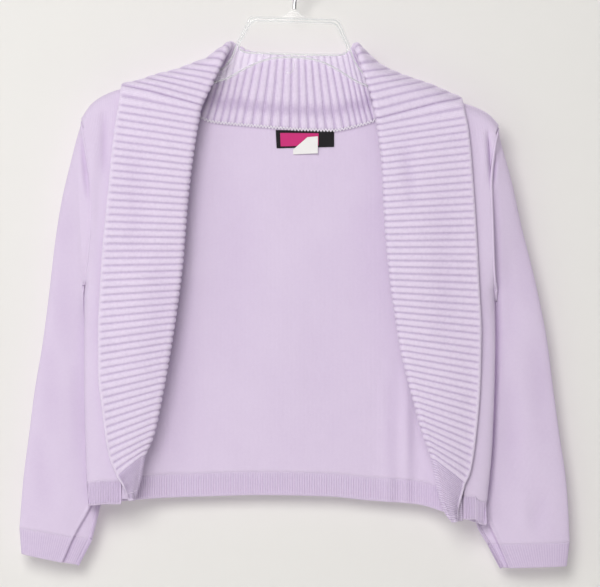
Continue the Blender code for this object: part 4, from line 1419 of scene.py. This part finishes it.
studio = {
    "wallY": 34.0, "floorZ": -1150.0, "reach": 6000,
    "distance": 2600.0, "middle": (4.2, -357.5), "width": 630.0,    # of the camera's view
    "sensor": 36.0, "clipEnd": 60.0,
    "worldColour": (0.93, 0.93, 0.95, 1), "worldStrength": 0.33,
    # Place and target in metres, size, power, colour.
    "lights": {
        "keyLight": ((-0.5, -2.3, 0.55), (0, 0, -0.35), 1.3, 35, (1.0, 0.985, 0.965)),
        "fillLight": ((-1.5, -1.9, -0.1), (-0.2, 0, -0.35), 2.2, 9, (0.97, 0.98, 1.0)),
        "backLight": ((0.6, 2.2, 0.9), (0, 0, -0.35), 1.8, 38, (1.0, 0.99, 0.98)),
    },
}


def stagePlane(name, corners, colour, seenThrough):
    mesh = bpy.data.meshes.new(name)
    mesh.from_pydata((np.array(corners, float) * mm).tolist(), [], [(0, 1, 2, 3)])
    made = linked(name, mesh)
    paint, tree, shader = materialOf(name + "Paint")
    relief = bumpOf(tree, 0.05, 0.001, noiseOf(tree, 90.0, 2.0))
    feed(tree, shader, {"Base Color": (*colour, 1), "Roughness": 0.8, "Normal": relief})
    if seenThrough:    # the wall isn't in the way of a view from behind it
        mix = nodeOf(tree, "ShaderNodeMixShader")
        clear = nodeOf(tree, "ShaderNodeBsdfTransparent")
        behind = nodeOf(tree, "ShaderNodeNewGeometry").outputs["Backfacing"]
        feed(tree, mix, {0: behind, 1: shader.outputs[0], 2: clear.outputs[0]})
        feed(tree, tree.nodes["Material Output"], {"Surface": mix.outputs[0]})
    made.data.materials.append(paint)
    return made


def areaLight(name, place, target, size, power, colour):
    lamp = bpy.data.lights.new(name, "AREA")
    lamp.shape = "DISK"
    lamp.size = size
    lamp.energy = power
    lamp.color = colour
    made = linked(name, lamp)
    made.location = place
    made.rotation_mode = "QUATERNION"
    made.rotation_quaternion = (Vector(target) - Vector(place)).to_track_quat("-Z", "Y")


far, wallY, floorZ = studio["reach"], studio["wallY"], studio["floorZ"]
wall = stagePlane(
    "backdrop",
    [(-far, wallY, floorZ), (far, wallY, floorZ), (far, wallY, far), (-far, wallY, far)],
    (0.80, 0.79, 0.765), True,
)
wall.visible_shadow = False
stagePlane(
    "floor", [(-far, -far, floorZ), (far, -far, floorZ), (far, far, floorZ), (-far, far, floorZ)],
    (0.78, 0.775, 0.76), False,
)
for name, values in studio["lights"].items():
    areaLight(name, *values)
world = bpy.data.worlds.new("studioWorld")
world.use_nodes = True
background = world.node_tree.nodes["Background"]
background.inputs["Color"].default_value = studio["worldColour"]
background.inputs["Strength"].default_value = studio["worldStrength"]
bpy.context.scene.world = world

lens = bpy.data.cameras.new("photoCamera")
lens.sensor_width = studio["sensor"]
lens.lens = studio["sensor"] * studio["distance"] / studio["width"]
lens.clip_end = studio["clipEnd"]
camera = linked("photoCamera", lens)
camera.location = (studio["middle"][0] * mm, -studio["distance"] * mm, studio["middle"][1] * mm)
camera.rotation_euler = (math.pi / 2, 0, 0)
bpy.context.scene.camera = camera
bpy.context.scene.view_settings.view_transform = "Standard"
print("studio made")
